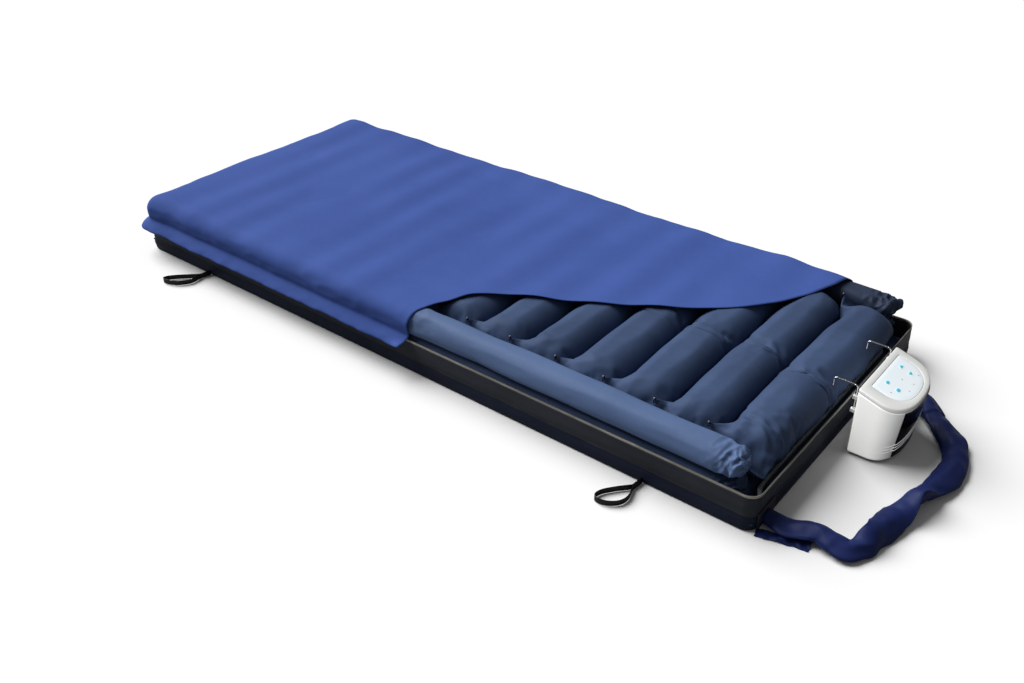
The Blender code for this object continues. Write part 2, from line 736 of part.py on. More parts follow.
def back_plate(finish):
    """The plate screwed to the case's back, with two bored clips for each wire hook's leg."""
    low = (-GAP - BACK_PLATE_THICKNESS, -BACK_PLATE_HALF_WIDTH, BACK_PLATE_HEIGHTS[0])
    high = (-GAP, BACK_PLATE_HALF_WIDTH, BACK_PLATE_HEIGHTS[1])
    plate = pump_box("back_plate", low, high, finish)
    for name, place, size in (("switch", SWITCH_PLACE, SWITCH_SIZE), ("inlet", INLET_PLACE, INLET_SIZE)):
        combine(plate, back_hole(f"{name}_hole_plate", place, size, finish), "DIFFERENCE")
    depth, width, height = CLIP_SIZE
    for side in (-1, 1):
        s = side * HOOK_SPREAD
        for number, z in enumerate(CLIP_HEIGHTS):
            low = (-HOOK_AXIS_OUT - depth / 2, s - width / 2, z - height / 2)
            high = (-GAP - BACK_PLATE_THICKNESS / 2, s + width / 2, z + height / 2)
            combine(plate, pump_box(f"clip_{side}_{number}", low, high, finish), "UNION")
        x, y = PUMP_X - HOOK_AXIS_OUT, PUMP_Y + s
        ends = [(x, y, z) for z in (CLIP_HEIGHTS[0] - height, CLIP_HEIGHTS[1] + height)]
        bore = cylinder(f"hook_bore_{side}", HOOK_WIRE_RADIUS + GAP, *ends, finish, sides=16)
        combine(plate, bore, "DIFFERENCE")


def wire_hook(name, side, finish):
    """A hook bent from one wire: leg in the clips, arm over the bed end, tip turned down."""
    corners = [
        (0, 0, HOOK_LEG_BOTTOM),
        (0, 0, HOOK_TOP),
        (-HOOK_REACH, 0, HOOK_TOP),
        (-HOOK_REACH, 0, HOOK_TIP),
    ]
    place = (PUMP_X - HOOK_AXIS_OUT, PUMP_Y + side * HOOK_SPREAD, 0)
    tube(name, bent(corners, HOOK_BEND), HOOK_WIRE_RADIUS, finish, place=place)


def key_frame(depth, across, below):
    """World place of a point this far below the sloping top, measured square to it."""
    x = PUMP_X + depth - below * math.sin(SLOPE_ANGLE)
    return (x, PUMP_Y + across, lid_height(depth) - below * math.cos(SLOPE_ANGLE))


def key_cutter(name, place, below, finish):
    half = [side / 2 + GAP for side in KEY_SIZE]
    low, high = (-half[0], -half[1], 0), (half[0], half[1], below + 0.004)
    return box(name, low, high, finish, place=key_frame(*place, below), turn=(0, SLOPE_ANGLE, 0))


def pump_lid(lid_finish, panel_finish, key_finish):
    """The sloping lid, the panel let into it and the keys that travel in the panel."""
    panel = d_outline(PANEL_BACK, PANEL_FRONT, PANEL_HALF_WIDTH, PANEL_BACK + 0.025, PANEL_SHIFT)
    recess = d_outline(
        PANEL_BACK - EDGE, PANEL_FRONT + EDGE, PANEL_HALF_WIDTH + EDGE, PANEL_BACK + 0.025, PANEL_SHIFT
    )
    rings = [
        at_pump(case_outline(1.0, 0.0), lambda d: lid_height(d) - LID_HEIGHT),
        at_pump(case_outline(1.0, 0.0), lambda d: lid_height(d) - 0.002),
        at_pump(case_outline(1.0, 0.002), lid_height),
        at_pump(recess, lid_height),
        at_pump(recess, lambda d: lid_height(d) - PANEL_RECESS),
    ]
    lid = loft("pump_lid", rings, lid_finish)
    bottom = PANEL_RECESS - GAP
    rings = [
        at_pump(panel, lambda d: lid_height(d) - bottom),
        at_pump(panel, lambda d: lid_height(d) - bottom + PANEL_THICKNESS),
    ]
    sheet = loft("control_panel", rings, panel_finish)
    key_top = 0.0003
    pocket = key_top + KEY_THICKNESS + KEY_TRAVEL + GAP
    for number, place in enumerate(KEY_PLACES, 1):
        combine(lid, key_cutter(f"key_pocket_{number}", place, pocket, lid_finish), "DIFFERENCE")
        combine(sheet, key_cutter(f"key_window_{number}", place, pocket, lid_finish), "DIFFERENCE")
        half = [side / 2 for side in KEY_SIZE]
        low, high = (-half[0], -half[1], -KEY_THICKNESS), (half[0], half[1], 0)
        where = key_frame(*place, key_top)
        box(f"panel_key_{number}", low, high, key_finish, place=where, turn=(0, SLOPE_ANGLE, 0))


def front_panel(finish):
    """The glossy panel that wraps the rounded front of the case."""

    def slab(share):
        outline = [p for p in case_outline(share, 0.0) if p[0] > 0.5 * PUMP_DEPTH]
        outline = [p for p in outline if abs(p[1]) < FRONT_PANEL_HALF_WIDTH]
        inner, outer = [], []
        for i, point in enumerate(outline):
            here = Vector(point)
            along = Vector(outline[min(i + 1, len(outline) - 1)]) - Vector(outline[max(i - 1, 0)])
            out = Vector((along.y, -along.x)).normalized()
            inner.append(here + out * 2 * GAP)
            outer.append(here + out * (2 * GAP + FRONT_PANEL_THICKNESS))
        return inner + outer[::-1]

    low, high = slab(0.04), slab(1.0)
    rings = [
        at_pump(low, PUMP_BOTTOM + 0.007),
        at_pump(high, lambda d: lid_height(d) - LID_HEIGHT - 2 * GAP),
    ]
    loft("front_panel", rings, finish)


def power_inlets(inlet_finish, switch_finish):
    """The mains inlet's open socket and the rocker switch beside it."""
    s, z = INLET_PLACE
    half = [side / 2 for side in INLET_SIZE]
    inlet = pump_box(
        "mains_inlet", (-0.003, s - half[0], z - half[1]), (INLET_DEPTH, s + half[0], z + half[1]), inlet_finish
    )
    inner = [h - INLET_WALL for h in half]
    cavity = pump_box(
        "inlet_cavity",
        (-0.01, s - inner[0], z - inner[1]),
        (INLET_DEPTH - INLET_WALL, s + inner[0], z + inner[1]),
        inlet_finish,
    )
    combine(inlet, cavity, "DIFFERENCE")
    s, z = SWITCH_PLACE
    half = [side / 2 for side in SWITCH_SIZE]
    box(
        "power_rocker",
        (-0.004, -half[0], -half[1] + EDGE),
        (0.004, half[0], half[1] - EDGE),
        switch_finish,
        bevel=0.001,
        place=(PUMP_X, PUMP_Y + s, z),
        turn=(0, -SWITCH_TILT, 0),
    )


def pump_inside(steel, rubber, plastic, brass, board):
    """Compressor on its rubber mount, air distributor with its motor, and the circuit board."""
    low, high = Vector(COMPRESSOR_LOW), Vector(COMPRESSOR_HIGH)
    body = pump_box("compressor_body", low, high, steel)
    middle = (low + high) / 2
    half = Vector(ARMATURE_SLOT) / 2
    bottom = high.z - ARMATURE_SLOT[2]
    slot = pump_box(
        "armature_slot",
        (middle.x - half.x, middle.y - half.y, bottom),
        (middle.x + half.x, middle.y + half.y, high.z + 0.01),
        steel,
    )
    combine(body, slot, "DIFFERENCE")
    clear = 2.5 * ARMATURE_STROKE
    box(
        "compressor_armature",
        (-half.x + GAP, -half.y + clear, GAP),
        (half.x - GAP, half.y - clear, ARMATURE_SLOT[2] - 0.002),
        brass,
        place=(PUMP_X + middle.x, PUMP_Y + middle.y, bottom),
    )
    floor = PUMP_BOTTOM + PUMP_WALL + GAP
    pump_box(
        "compressor_mount", (low.x, low.y, floor), (high.x, high.y, floor + MOUNT_HEIGHT - GAP), rubber
    )
    x, y = PUMP_X + DISTRIBUTOR_PLACE[0], PUMP_Y + DISTRIBUTOR_PLACE[1]
    stack = (
        ("distributor_motor", 0.86 * DISTRIBUTOR_RADIUS, floor, DISTRIBUTOR_MOTOR_TOP, steel),
        ("air_distributor", DISTRIBUTOR_RADIUS, DISTRIBUTOR_MOTOR_TOP + GAP, DISTRIBUTOR_TOP, plastic),
    )
    for name, radius, bottom, top, finish in stack:
        cylinder(name, radius, (x, y, bottom), (x, y, top), finish, sides=28)
    place = (x, y, DISTRIBUTOR_TOP + GAP)
    rotor = cylinder(
        "distributor_rotor", ROTOR_RADIUS, (0, 0, 0), (0, 0, ROTOR_THICKNESS), brass, sides=28, place=place
    )
    port = box("rotor_port", (0.3 * ROTOR_RADIUS, -0.003, -0.01), (2 * ROTOR_RADIUS, 0.003, 0.02), brass, place=place)
    combine(rotor, port, "DIFFERENCE")
    start = PUMP_WALL + BOSS_LENGTH + GAP
    pump_box(
        "circuit_board",
        (start, -BOARD_HALF_WIDTH, BOARD_HEIGHTS[0]),
        (start + BOARD_THICKNESS, BOARD_HALF_WIDTH, BOARD_HEIGHTS[1]),
        board,
    )


def hose_port(port_finish, coupling_finish):
    """The air port through the case's far side and the coupling that the sleeve ends in."""
    side = PUMP_FOOT_HALF_WIDTH
    half = [size / 2 for size in PORT_SIZE]
    outside = side + 0.014
    start = DISTRIBUTOR_PLACE[1] + DISTRIBUTOR_RADIUS + GAP
    pump_box(
        "air_port",
        (PORT_X - half[0], start, PORT_Z - half[1]),
        (PORT_X + half[0], outside, PORT_Z + half[1]),
        port_finish,
    )
    half = [size / 2 for size in COUPLING_SIZE]
    pump_box(
        "hose_coupling",
        (PORT_X - half[0], outside + GAP, PORT_Z - half[1]),
        (PORT_X + half[0], outside + GAP + COUPLING_DEPTH, PORT_Z + half[1]),
        coupling_finish,
        bevel=0.003,
    )


def pump_feet(finish):
    """A rubber foot bar near the back and one near the front."""
    for name, start in (("pump_foot_back", 0.012), ("pump_foot_front", 0.058)):
        half = FOOT_SIZE[1] / 2
        pump_box(name, (start, -half, 0), (start + FOOT_SIZE[0], half, PUMP_BOTTOM - GAP), finish)


def build():
    clear_scene()
    navy = material("cell_navy", (0.035, 0.060, 0.130), 0.55)
    bolster_blue = material("bolster_blue", (0.080, 0.130, 0.240), 0.50)
    cover_blue = material("cover_blue", (0.050, 0.095, 0.370), 0.60)
    base_dark = material("base_dark", (0.016, 0.018, 0.028), 0.50)
    tape_grey = material("zip_grey", (0.150, 0.145, 0.135), 0.70)
    webbing = material("webbing_black", (0.010, 0.010, 0.012), 0.60)
    sleeve_blue = material("sleeve_navy", (0.013, 0.022, 0.110), 0.60)
    hose = material("hose_clear_grey", (0.350, 0.370, 0.390), 0.40)
    white = material("pump_white", (0.830, 0.830, 0.820), 0.30)
    grey = material("lid_grey", (0.600, 0.590, 0.560), 0.45)
    black = material("gloss_black", (0.008, 0.008, 0.009), 0.08)
    panel = material("panel_film", (0.780, 0.800, 0.800), 0.35)
    key = material("key_film", (0.700, 0.800, 0.840), 0.35)
    chrome = material("hook_chrome", (0.780, 0.780, 0.790), 0.12, 1.0)
    dark_plastic = material("dark_plastic", (0.020, 0.020, 0.022), 0.50)
    rubber = material("rubber_black", (0.015, 0.015, 0.015), 0.80)
    steel = material("steel", (0.450, 0.450, 0.460), 0.35, 1.0)
    brass = material("brass", (0.600, 0.440, 0.180), 0.35, 1.0)
    board = material("board_green", (0.020, 0.120, 0.050), 0.45)

    base_cover(base_dark)
    zip_parts(tape_grey, dark_plastic)
    top_cover(cover_blue)
    base_pad(navy)
    for side, word in ((-1, "near"), (1, "far")):
        bolster(f"lower_bolster_{word}", side, PAD_TOP + GAP, LOWER_BOLSTER_TOP, 3.0, navy)
        bolster(f"upper_bolster_{word}", side, LOWER_BOLSTER_TOP + GAP, UPPER_BOLSTER_TOP, 2.2, bolster_blue)
        for end, x, lean in LOOPS:
            webbing_loop(f"strap_loop_{end}_{word}", side, x * LENGTH / 2, lean, webbing)
        wire_hook(f"wire_hook_{word}", side, chrome)
    for number in range(1, CELL_COUNT + 1):
        air_cell(number, navy)
    air_lines(hose)
    deflation_valve(dark_plastic, dark_plastic)
    hose_outlet(dark_plastic, sleeve_blue, sleeve_blue)

    pump_case(white)
    back_plate(white)
    pump_lid(grey, panel, key)
    front_panel(black)
    power_inlets(dark_plastic, dark_plastic)
    pump_inside(steel, rubber, dark_plastic, brass, board)
    hose_port(dark_plastic, dark_plastic)
    pump_feet(rubber)


build()
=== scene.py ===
"""Looks of an alternating-air pressure relief mattress with a cutaway cover and its bedside pump.

Metres, +Z up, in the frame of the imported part: +X runs to the foot end, +Y to the far side, and the
origin is on the floor under the middle of the mattress.
"""
import math

import bmesh
import bpy
import numpy as np
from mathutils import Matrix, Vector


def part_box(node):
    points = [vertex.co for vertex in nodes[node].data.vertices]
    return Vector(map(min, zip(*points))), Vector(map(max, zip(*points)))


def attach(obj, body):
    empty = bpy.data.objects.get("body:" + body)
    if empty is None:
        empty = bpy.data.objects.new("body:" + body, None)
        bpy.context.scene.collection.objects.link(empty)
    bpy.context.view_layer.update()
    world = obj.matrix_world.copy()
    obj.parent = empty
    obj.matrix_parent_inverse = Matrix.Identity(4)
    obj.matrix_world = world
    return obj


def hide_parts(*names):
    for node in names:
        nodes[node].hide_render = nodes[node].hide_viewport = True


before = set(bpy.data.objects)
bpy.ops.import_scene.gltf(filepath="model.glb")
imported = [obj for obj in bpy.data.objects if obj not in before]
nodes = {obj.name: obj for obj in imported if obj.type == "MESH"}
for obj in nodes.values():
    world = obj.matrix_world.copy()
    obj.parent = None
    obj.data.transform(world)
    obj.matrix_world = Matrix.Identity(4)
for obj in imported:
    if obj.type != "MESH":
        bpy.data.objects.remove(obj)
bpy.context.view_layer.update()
ROOT = "mattress_and_pump"

# ---- Floor, light and camera -------------------------------------------------------------------
# A white studio sweep under one very broad light, high over the head end, with a weak white sky
# for the fill. The camera stands off the near foot corner. The floor throws back
# less light than it shows, as if black cards stood round the object, so its sides stay deep.

CAMERA_PLACE = (1.5745, -1.9112, 1.4386)
CAMERA_AZIMUTH = math.radians(38.61)
CAMERA_ELEVATION = math.radians(32.73)
CAMERA_LENS = 36.14
FLOOR_HALF = 30.0
FLOOR_DROP = 0.0004
FLOOR_SHOWN, FLOOR_THROWN = 0.90, 0.30
SKY_FILL = 0.15
SUN_FROM = (-1.00, -0.05, 1.0)
SUN_SPREAD = math.radians(50)
SUN_POWER = 4.4


def tone(red, green, blue):
    """A display colour from 0 to 255 as the linear colour that shaders take."""
    part = np.array([red, green, blue]) / 255
    linear = np.where(part <= 0.04045, part / 12.92, ((part + 0.055) / 1.055) ** 2.4)
    return (*linear.tolist(), 1.0)


scene = bpy.context.scene
scene.view_settings.view_transform = "Standard"

lens = bpy.data.cameras.new("camera")
lens.lens = CAMERA_LENS
lens.sensor_width = 36.0
lens.clip_end = 100.0
camera = bpy.data.objects.new("camera", lens)
camera.location = CAMERA_PLACE
camera.rotation_euler = (math.pi / 2 - CAMERA_ELEVATION, 0, CAMERA_AZIMUTH)
scene.collection.objects.link(camera)
scene.camera = camera


def seen_or_not(tree, seen, unseen, socket):
    """Feeds a socket one number for rays from the camera and another for every other ray."""
    ray = tree.nodes.new("ShaderNodeLightPath")
    span = tree.nodes.new("ShaderNodeMapRange")
    span.inputs["To Min"].default_value = unseen
    span.inputs["To Max"].default_value = seen
    tree.links.new(ray.outputs["Is Camera Ray"], span.inputs["Value"])
    tree.links.new(span.outputs["Result"], socket)


sky = bpy.data.worlds.new("studio_sky")
sky.use_nodes = True
sky.node_tree.nodes["Background"].inputs["Color"].default_value = (1.0, 1.0, 1.0, 1.0)
seen_or_not(sky.node_tree, 1.0, SKY_FILL, sky.node_tree.nodes["Background"].inputs["Strength"])
scene.world = sky


def lamp_at(name, kind, place, aim, power):
    """A lamp of the given kind at place, turned to face aim."""
    light = bpy.data.lights.new(name, kind)
    light.energy = power
    lamp = bpy.data.objects.new(name, light)
    way = np.array(aim, float) - np.array(place, float)
    lamp.location = place
    turn = math.atan2(way[1], way[0]) - math.pi / 2
    lamp.rotation_euler = (math.acos(-way[2] / np.linalg.norm(way)), 0, turn)
    scene.collection.objects.link(lamp)
    return lamp


lamp_at("overhead_light", "SUN", SUN_FROM, (0.0, 0.0, 0.0), SUN_POWER).data.angle = SUN_SPREAD

floor_mesh = bpy.data.meshes.new("floor")
far, low = FLOOR_HALF, -FLOOR_DROP
corners = [(-far, -far, low), (far, -far, low), (far, far, low), (-far, far, low)]
floor_mesh.from_pydata(corners, [], [(0, 1, 2, 3)])
floor = bpy.data.objects.new("floor", floor_mesh)
floor_finish = bpy.data.materials.new("studio_floor")
floor_finish.use_nodes = True
floor_shader = floor_finish.node_tree.nodes["Principled BSDF"]
seen_or_not(floor_finish.node_tree, FLOOR_SHOWN, FLOOR_THROWN, floor_shader.inputs["Base Color"])
floor_shader.inputs["Roughness"].default_value = 1.0
floor_shader.inputs["Specular IOR Level"].default_value = 0.0
floor_mesh.materials.append(floor_finish)
scene.collection.objects.link(floor)

# ---- Base cover --------------------------------------------------------------------------------
# A tray of dark polyurethane-coated nylon, two welded strips high, that holds every layer. Its
# lower strip turns under as the base; a welded piping line shows where the strips meet.

HALF_LENGTH = 1.0
HALF_WIDTH = 0.425
CORNER_RADIUS = 0.030
TRAY_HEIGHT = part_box("base_cover")[1].z
TRAY_WALL = 0.002
WELD_LINE = 0.039


def soft_waves(u, v, size, seed, count=12):
    """Gentle random relief: a sum of sine waves of wavelengths near size, each in its own seeded
    direction and phase, scaled to about -1 to 1."""
    total = 0.0
    for turn, phase, stretch in np.random.default_rng(seed).random((count, 3)):
        angle = 2 * np.pi * turn
        length = size * (0.6 + 0.9 * stretch)
        total = total + np.sin(2 * np.pi * ((u * np.cos(angle) + v * np.sin(angle)) / length + phase))
    return total / np.sqrt(count)


def folds(u, v, size, seed):
    """Sharp-ridged relief from 0 to about 1: one less the size of a soft wave, so that ridges
    stand where the wave crosses nought."""
    return 1 - np.abs(soft_waves(u, v, size, seed, 8))


def bump(value, middle, width):
    """A bell curve of height 1: e to the minus the square of the distance over the width."""
    return np.exp(-(((value - middle) / width) ** 2))


def blend_in(value, start, end):
    """Nought before start, one after end, and a smooth S between them."""
    part = np.clip((value - start) / (end - start), 0, 1)
    return part * part * (3 - 2 * part)


def skin(name, grid, loop_rows=False, loop_columns=False, fill_ends=False):
    """A smooth mesh through a grid of points (rows, columns, 3), one quad between four neighbours.
    Its UV map, cloth, is in metres: distance along the columns, then along the rows."""
    number = np.arange(grid.shape[0] * grid.shape[1]).reshape(grid.shape[:2])
    whole = grid
    if loop_rows:
        number, whole = np.concatenate([number, number[:1]]), np.concatenate([whole, whole[:1]])
    if loop_columns:
        number = np.concatenate([number, number[:, :1]], 1)
        whole = np.concatenate([whole, whole[:, :1]], 1)
    down = np.concatenate([[0], np.cumsum(np.linalg.norm(np.diff(whole, axis=0), axis=2).mean(1))])
    over = np.concatenate([[0], np.cumsum(np.linalg.norm(np.diff(whole, axis=1), axis=2).mean(0))])
    i, j = np.meshgrid(np.arange(len(down) - 1), np.arange(len(over) - 1), indexing="ij")
    corners = ((0, 0), (0, 1), (1, 1), (1, 0))
    quads = np.stack([number[i + a, j + b] for a, b in corners], -1).reshape(-1, 4).tolist()
    place = np.stack([np.stack([over[j + b], down[i + a]], -1) for a, b in corners], 2).reshape(-1, 2)
    if fill_ends:
        rings = [number[0, :-1].tolist(), number[-1, :-1].tolist()]
        quads += rings
        place = np.concatenate([place, np.zeros((sum(map(len, rings)), 2))])
    mesh = bpy.data.meshes.new(name)
    mesh.from_pydata(grid.reshape(-1, 3).tolist(), [], quads)
    mesh.uv_layers.new(name="cloth").data.foreach_set("uv", place.ravel())
    form = bmesh.new()
    form.from_mesh(mesh)
    bmesh.ops.remove_doubles(form, verts=form.verts, dist=1e-5)
    bmesh.ops.dissolve_degenerate(form, edges=form.edges, dist=1e-6)
    bmesh.ops.recalc_face_normals(form, faces=form.faces)
    form.to_mesh(mesh)
    form.free()
    mesh.shade_smooth()
    piece = bpy.data.objects.new(name, mesh)
    scene.collection.objects.link(piece)
    return piece


def footprint(out, straight=90, cross=44, arc=12):
    """The mattress's rounded rectangle moved outward by out: every point is a corner centre, or a
    point on the line between two, plus the corner radius along its own outward direction.
    out may be an array of rows; it gives x, y and the outward direction, rows by points."""
    out = np.atleast_2d(np.asarray(out, float)).reshape(-1, 1)
    round_share = np.where(out > 0, 1.0, 0.6)
    half_x, half_y = HALF_LENGTH + out, HALF_WIDTH + out
    radius = np.minimum(np.maximum(CORNER_RADIUS + round_share * out, 0.004), half_y)
    turn = np.linspace(0, np.pi / 2, arc + 1)[1:]
    run_x = np.linspace(-1, 1, straight)
    run_y = np.linspace(-1, 1, cross)
    ones = np.ones
    base_x = np.concatenate([
        run_x, ones(arc), ones(cross - 1), ones(arc),
        -run_x[1:], -ones(arc), -ones(cross - 1), -ones(arc),
    ])
    base_y = np.concatenate([
        -ones(straight), -ones(arc), run_y[1:], ones(arc),
        ones(straight - 1), ones(arc), -run_y[1:], -ones(arc),
    ])
    way = np.concatenate([
        np.full(straight, -np.pi / 2), turn - np.pi / 2, np.zeros(cross - 1), turn,
        np.full(straight - 1, np.pi / 2), turn + np.pi / 2, np.full(cross - 1, np.pi), turn + np.pi,
    ])
    way_x, way_y = np.cos(way)[None], np.sin(way)[None]
    x = (half_x - radius) * base_x + radius * way_x
    y = (half_y - radius) * base_y + radius * way_y
    return x[:, :-1], y[:, :-1], way_x[:, :-1], way_y[:, :-1]


def node_group(name, inputs, outputs):
    """An empty shader group with the given sockets; gives the group, its input and its output."""
    group = bpy.data.node_groups.new(name, "ShaderNodeTree")
    for label, kind, value in inputs:
        socket = group.interface.new_socket(label, in_out="INPUT", socket_type=kind)
        socket.default_value = value
    for label, kind in outputs:
        group.interface.new_socket(label, in_out="OUTPUT", socket_type=kind)
    return group, group.nodes.new("NodeGroupInput"), group.nodes.new("NodeGroupOutput")


def noise_at(tree, vector, scale, detail=3.0, roughness=0.55, distortion=0.0):
    """A noise texture read at vector; scale is a number or a socket."""
    noise = tree.nodes.new("ShaderNodeTexNoise")
    noise.inputs["Detail"].default_value = detail
    noise.inputs["Roughness"].default_value = roughness
    noise.inputs["Distortion"].default_value = distortion
    tree.links.new(vector, noise.inputs["Vector"])
    if isinstance(scale, (int, float)):
        noise.inputs["Scale"].default_value = scale
    else:
        tree.links.new(scale, noise.inputs["Scale"])
    return noise.outputs["Fac"]


def maths(tree, operation, *values):
    """One maths node on numbers or sockets."""
    node = tree.nodes.new("ShaderNodeMath")
    node.operation = operation
    for slot, value in zip(node.inputs, values):
        if isinstance(value, (int, float)):
            slot.default_value = value
        else:
            tree.links.new(value, slot)
    return node.outputs[0]


def mixed(tree, share, first, second):
    """Two colours mixed by share."""
    node = tree.nodes.new("ShaderNodeMix")
    node.data_type = "RGBA"
    for slot, value in zip((node.inputs[0], node.inputs[6], node.inputs[7]), (share, first, second)):
        if isinstance(value, (int, float, tuple)):
            slot.default_value = value
        else:
            tree.links.new(value, slot)
    return node.outputs[2]


SURFACE_OUTPUTS = (
    ("Colour", "NodeSocketColor"), ("Roughness", "NodeSocketFloat"), ("Height", "NodeSocketFloat"),
)


def make_cloth_group():
    """Coated cloth. Colour drifts between two tones in clouds, with darker rub marks; the height
    holds a plain weave, crossed sines of the cloth's own UV, and fine puckers."""
    group, given, made = node_group(
        "coated_cloth",
        (
            ("Deep", "NodeSocketColor", (0, 0, 0, 1)),
            ("Pale", "NodeSocketColor", (1, 1, 1, 1)),
            ("Cloud Scale", "NodeSocketFloat", 6.0),
            ("Threads", "NodeSocketFloat", 900.0),
            ("Roughness", "NodeSocketFloat", 0.5),
        ),
        SURFACE_OUTPUTS,
    )
    spot = group.nodes.new("ShaderNodeTexCoord").outputs["Object"]
    cloud = noise_at(group, spot, given.outputs["Cloud Scale"], 4.0, 0.6, 0.4)
    share = maths(group, "SMOOTH_MIN", maths(group, "MULTIPLY_ADD", cloud, 2.2, -0.6), 1.0, 0.3)
    rub = noise_at(group, spot, 75.0, 2.0)
    spread = maths(group, "MAXIMUM", maths(group, "MULTIPLY_ADD", rub, 0.35, share), 0.0)
    paleness = maths(group, "MINIMUM", maths(group, "SUBTRACT", spread, 0.17), 1.0)
    colour = mixed(group, paleness, given.outputs["Deep"], given.outputs["Pale"])
    group.links.new(colour, made.inputs["Colour"])
    smoothest = maths(group, "SUBTRACT", given.outputs["Roughness"], 0.08)
    group.links.new(maths(group, "MULTIPLY_ADD", cloud, 0.16, smoothest), made.inputs["Roughness"])
    map_node = group.nodes.new("ShaderNodeUVMap")
    map_node.uv_map = "cloth"
    parts = group.nodes.new("ShaderNodeSeparateXYZ")
    group.links.new(map_node.outputs["UV"], parts.inputs[0])
    per_metre = maths(group, "MULTIPLY", given.outputs["Threads"], math.tau)
    warp = maths(group, "SINE", maths(group, "MULTIPLY", parts.outputs[0], per_metre))
    weft = maths(group, "SINE", maths(group, "MULTIPLY", parts.outputs[1], per_metre))
    weave = maths(group, "MULTIPLY", warp, weft)
    pucker = noise_at(group, spot, 28.0, 3.0, 0.5, 0.6)
    group.links.new(maths(group, "MULTIPLY_ADD", weave, 0.06, pucker), made.inputs["Height"])
    return group


CLOTH_GROUP = make_cloth_group()


def shader_of(name):
    """A new material, its tree and its Principled BSDF."""
    made = bpy.data.materials.new(name)
    made.use_nodes = True
    return made, made.node_tree, made.node_tree.nodes["Principled BSDF"]


def effect(tree, group, **values):
    """A group placed in a material with its own values, spaces in socket names written as _."""
    node = tree.nodes.new("ShaderNodeGroup")
    node.node_tree = group
    for label, value in values.items():
        node.inputs[label.replace("_", " ")].default_value = value
    return node


def relief(tree, shader, height, strength, distance):
    """Feeds a height to the shader's normal through a Bump node."""
    node = tree.nodes.new("ShaderNodeBump")
    node.inputs["Strength"].default_value = strength
    node.inputs["Distance"].default_value = distance
    tree.links.new(height, node.inputs["Height"])
    tree.links.new(node.outputs["Normal"], shader.inputs["Normal"])


def cloth_finish(
    name, deep, pale, roughness, cloud=6.0, threads=900.0, shine=0.16, strength=0.3, distance=0.0012
):
    """Coated cloth made with the cloth group; shine is the strength of its plain reflection."""
    made, tree, shader = shader_of(name)
    cloth = effect(
        tree, CLOTH_GROUP, Deep=deep, Pale=pale, Cloud_Scale=cloud, Threads=threads, Roughness=roughness
    )
    tree.links.new(cloth.outputs["Colour"], shader.inputs["Base Color"])
    tree.links.new(cloth.outputs["Roughness"], shader.inputs["Roughness"])
    shader.inputs["Specular IOR Level"].default_value = shine
    relief(tree, shader, cloth.outputs["Height"], strength, distance)
    return made


def base_finish():
    """The tray's two strips: one cloth, tinted by height on either side of the weld line."""
    made, tree, shader = shader_of("base_cloth")
    weave = {"Cloud_Scale": 5.0, "Threads": 700.0}
    upper = effect(tree, CLOTH_GROUP, Deep=tone(50, 53, 60), Pale=tone(62, 65, 73), Roughness=0.42, **weave)
    lower = effect(tree, CLOTH_GROUP, Deep=tone(30, 35, 50), Pale=tone(40, 47, 66), Roughness=0.46, **weave)
    spot = tree.nodes.new("ShaderNodeSeparateXYZ")
    tree.links.new(tree.nodes.new("ShaderNodeTexCoord").outputs["Object"], spot.inputs[0])
    above = maths(tree, "GREATER_THAN", spot.outputs[2], WELD_LINE)
    colour = mixed(tree, above, lower.outputs["Colour"], upper.outputs["Colour"])
    tree.links.new(colour, shader.inputs["Base Color"])
    tree.links.new(upper.outputs["Roughness"], shader.inputs["Roughness"])
    shader.inputs["Specular IOR Level"].default_value = 0.08
    relief(tree, shader, upper.outputs["Height"], 0.4, 0.0012)
    return made


def tray_skin():
    """Profile carried round the footprint: under the base, up the outer wall with a piping bead
    and a slight belly, over the rim and down inside. The two middles close at the centre line. Low
    waves push the wall in and out, but not the top of it, which the zip holds straight."""
    belly = np.linspace(0.006, TRAY_HEIGHT - 0.0015, 26)
    swell = 0.0010 * np.sin(np.pi * belly / WELD_LINE) ** 2 + 0.0013 * bump(belly, WELD_LINE, 0.0014)
    swell = swell - 0.0014 * bump(belly, WELD_LINE + 0.0032, 0.0016)
    swell = swell - 0.0010 * bump(belly, WELD_LINE - 0.0032, 0.0016)
    under = [
        (-HALF_WIDTH, 0.0), (-0.30, 0.0), (-0.15, 0.0), (-0.05, 0.0),
        (-0.012, 0.0), (-0.004, 0.0004), (-0.0010, 0.0022),
    ]
    wall = list(zip(swell, belly))
    rim = [(-0.0002, TRAY_HEIGHT - 0.0005), (-0.001, TRAY_HEIGHT), (-0.0018, TRAY_HEIGHT - 0.0005)]
    inside = [(-TRAY_WALL, z) for z in (0.080, 0.060, 0.040, 0.020, 0.006)]
    lining = [(-0.006, TRAY_WALL), (-0.05, TRAY_WALL), (-0.20, TRAY_WALL), (-HALF_WIDTH, TRAY_WALL)]
    out, z = np.array(under + wall + rim + inside + lining).T
    x, y, way_x, way_y = footprint(out)
    z = np.repeat(z[:, None], x.shape[1], 1)
    standing = (z > 0.004) & (out[:, None] > -0.01)
    ease = blend_in(z, 0.004, 0.02) * (1 - blend_in(z, 0.048, 0.062)) * standing
    push = ease * (0.0009 * soft_waves(x + y, 3 * z, 0.22, 3) + 0.0006 * soft_waves(x - y, 6 * z, 0.07, 4))
    points = np.stack([x + way_x * push, y + way_y * push, z], -1)
    return skin("base_cover_cloth", points, loop_columns=True)


BASE_FINISH = base_finish()
tray = tray_skin()
tray.data.materials.append(BASE_FINISH)
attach(tray, ROOT)
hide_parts("base_cover")

# ---- Zip ---------------------------------------------------------------------------------------
# A continuous zip joins the top cover to the tray: a grey woven tape welded to the tray's rim with
# moulded teeth along its upper edge, and one slider with a hanging pull on the near side.

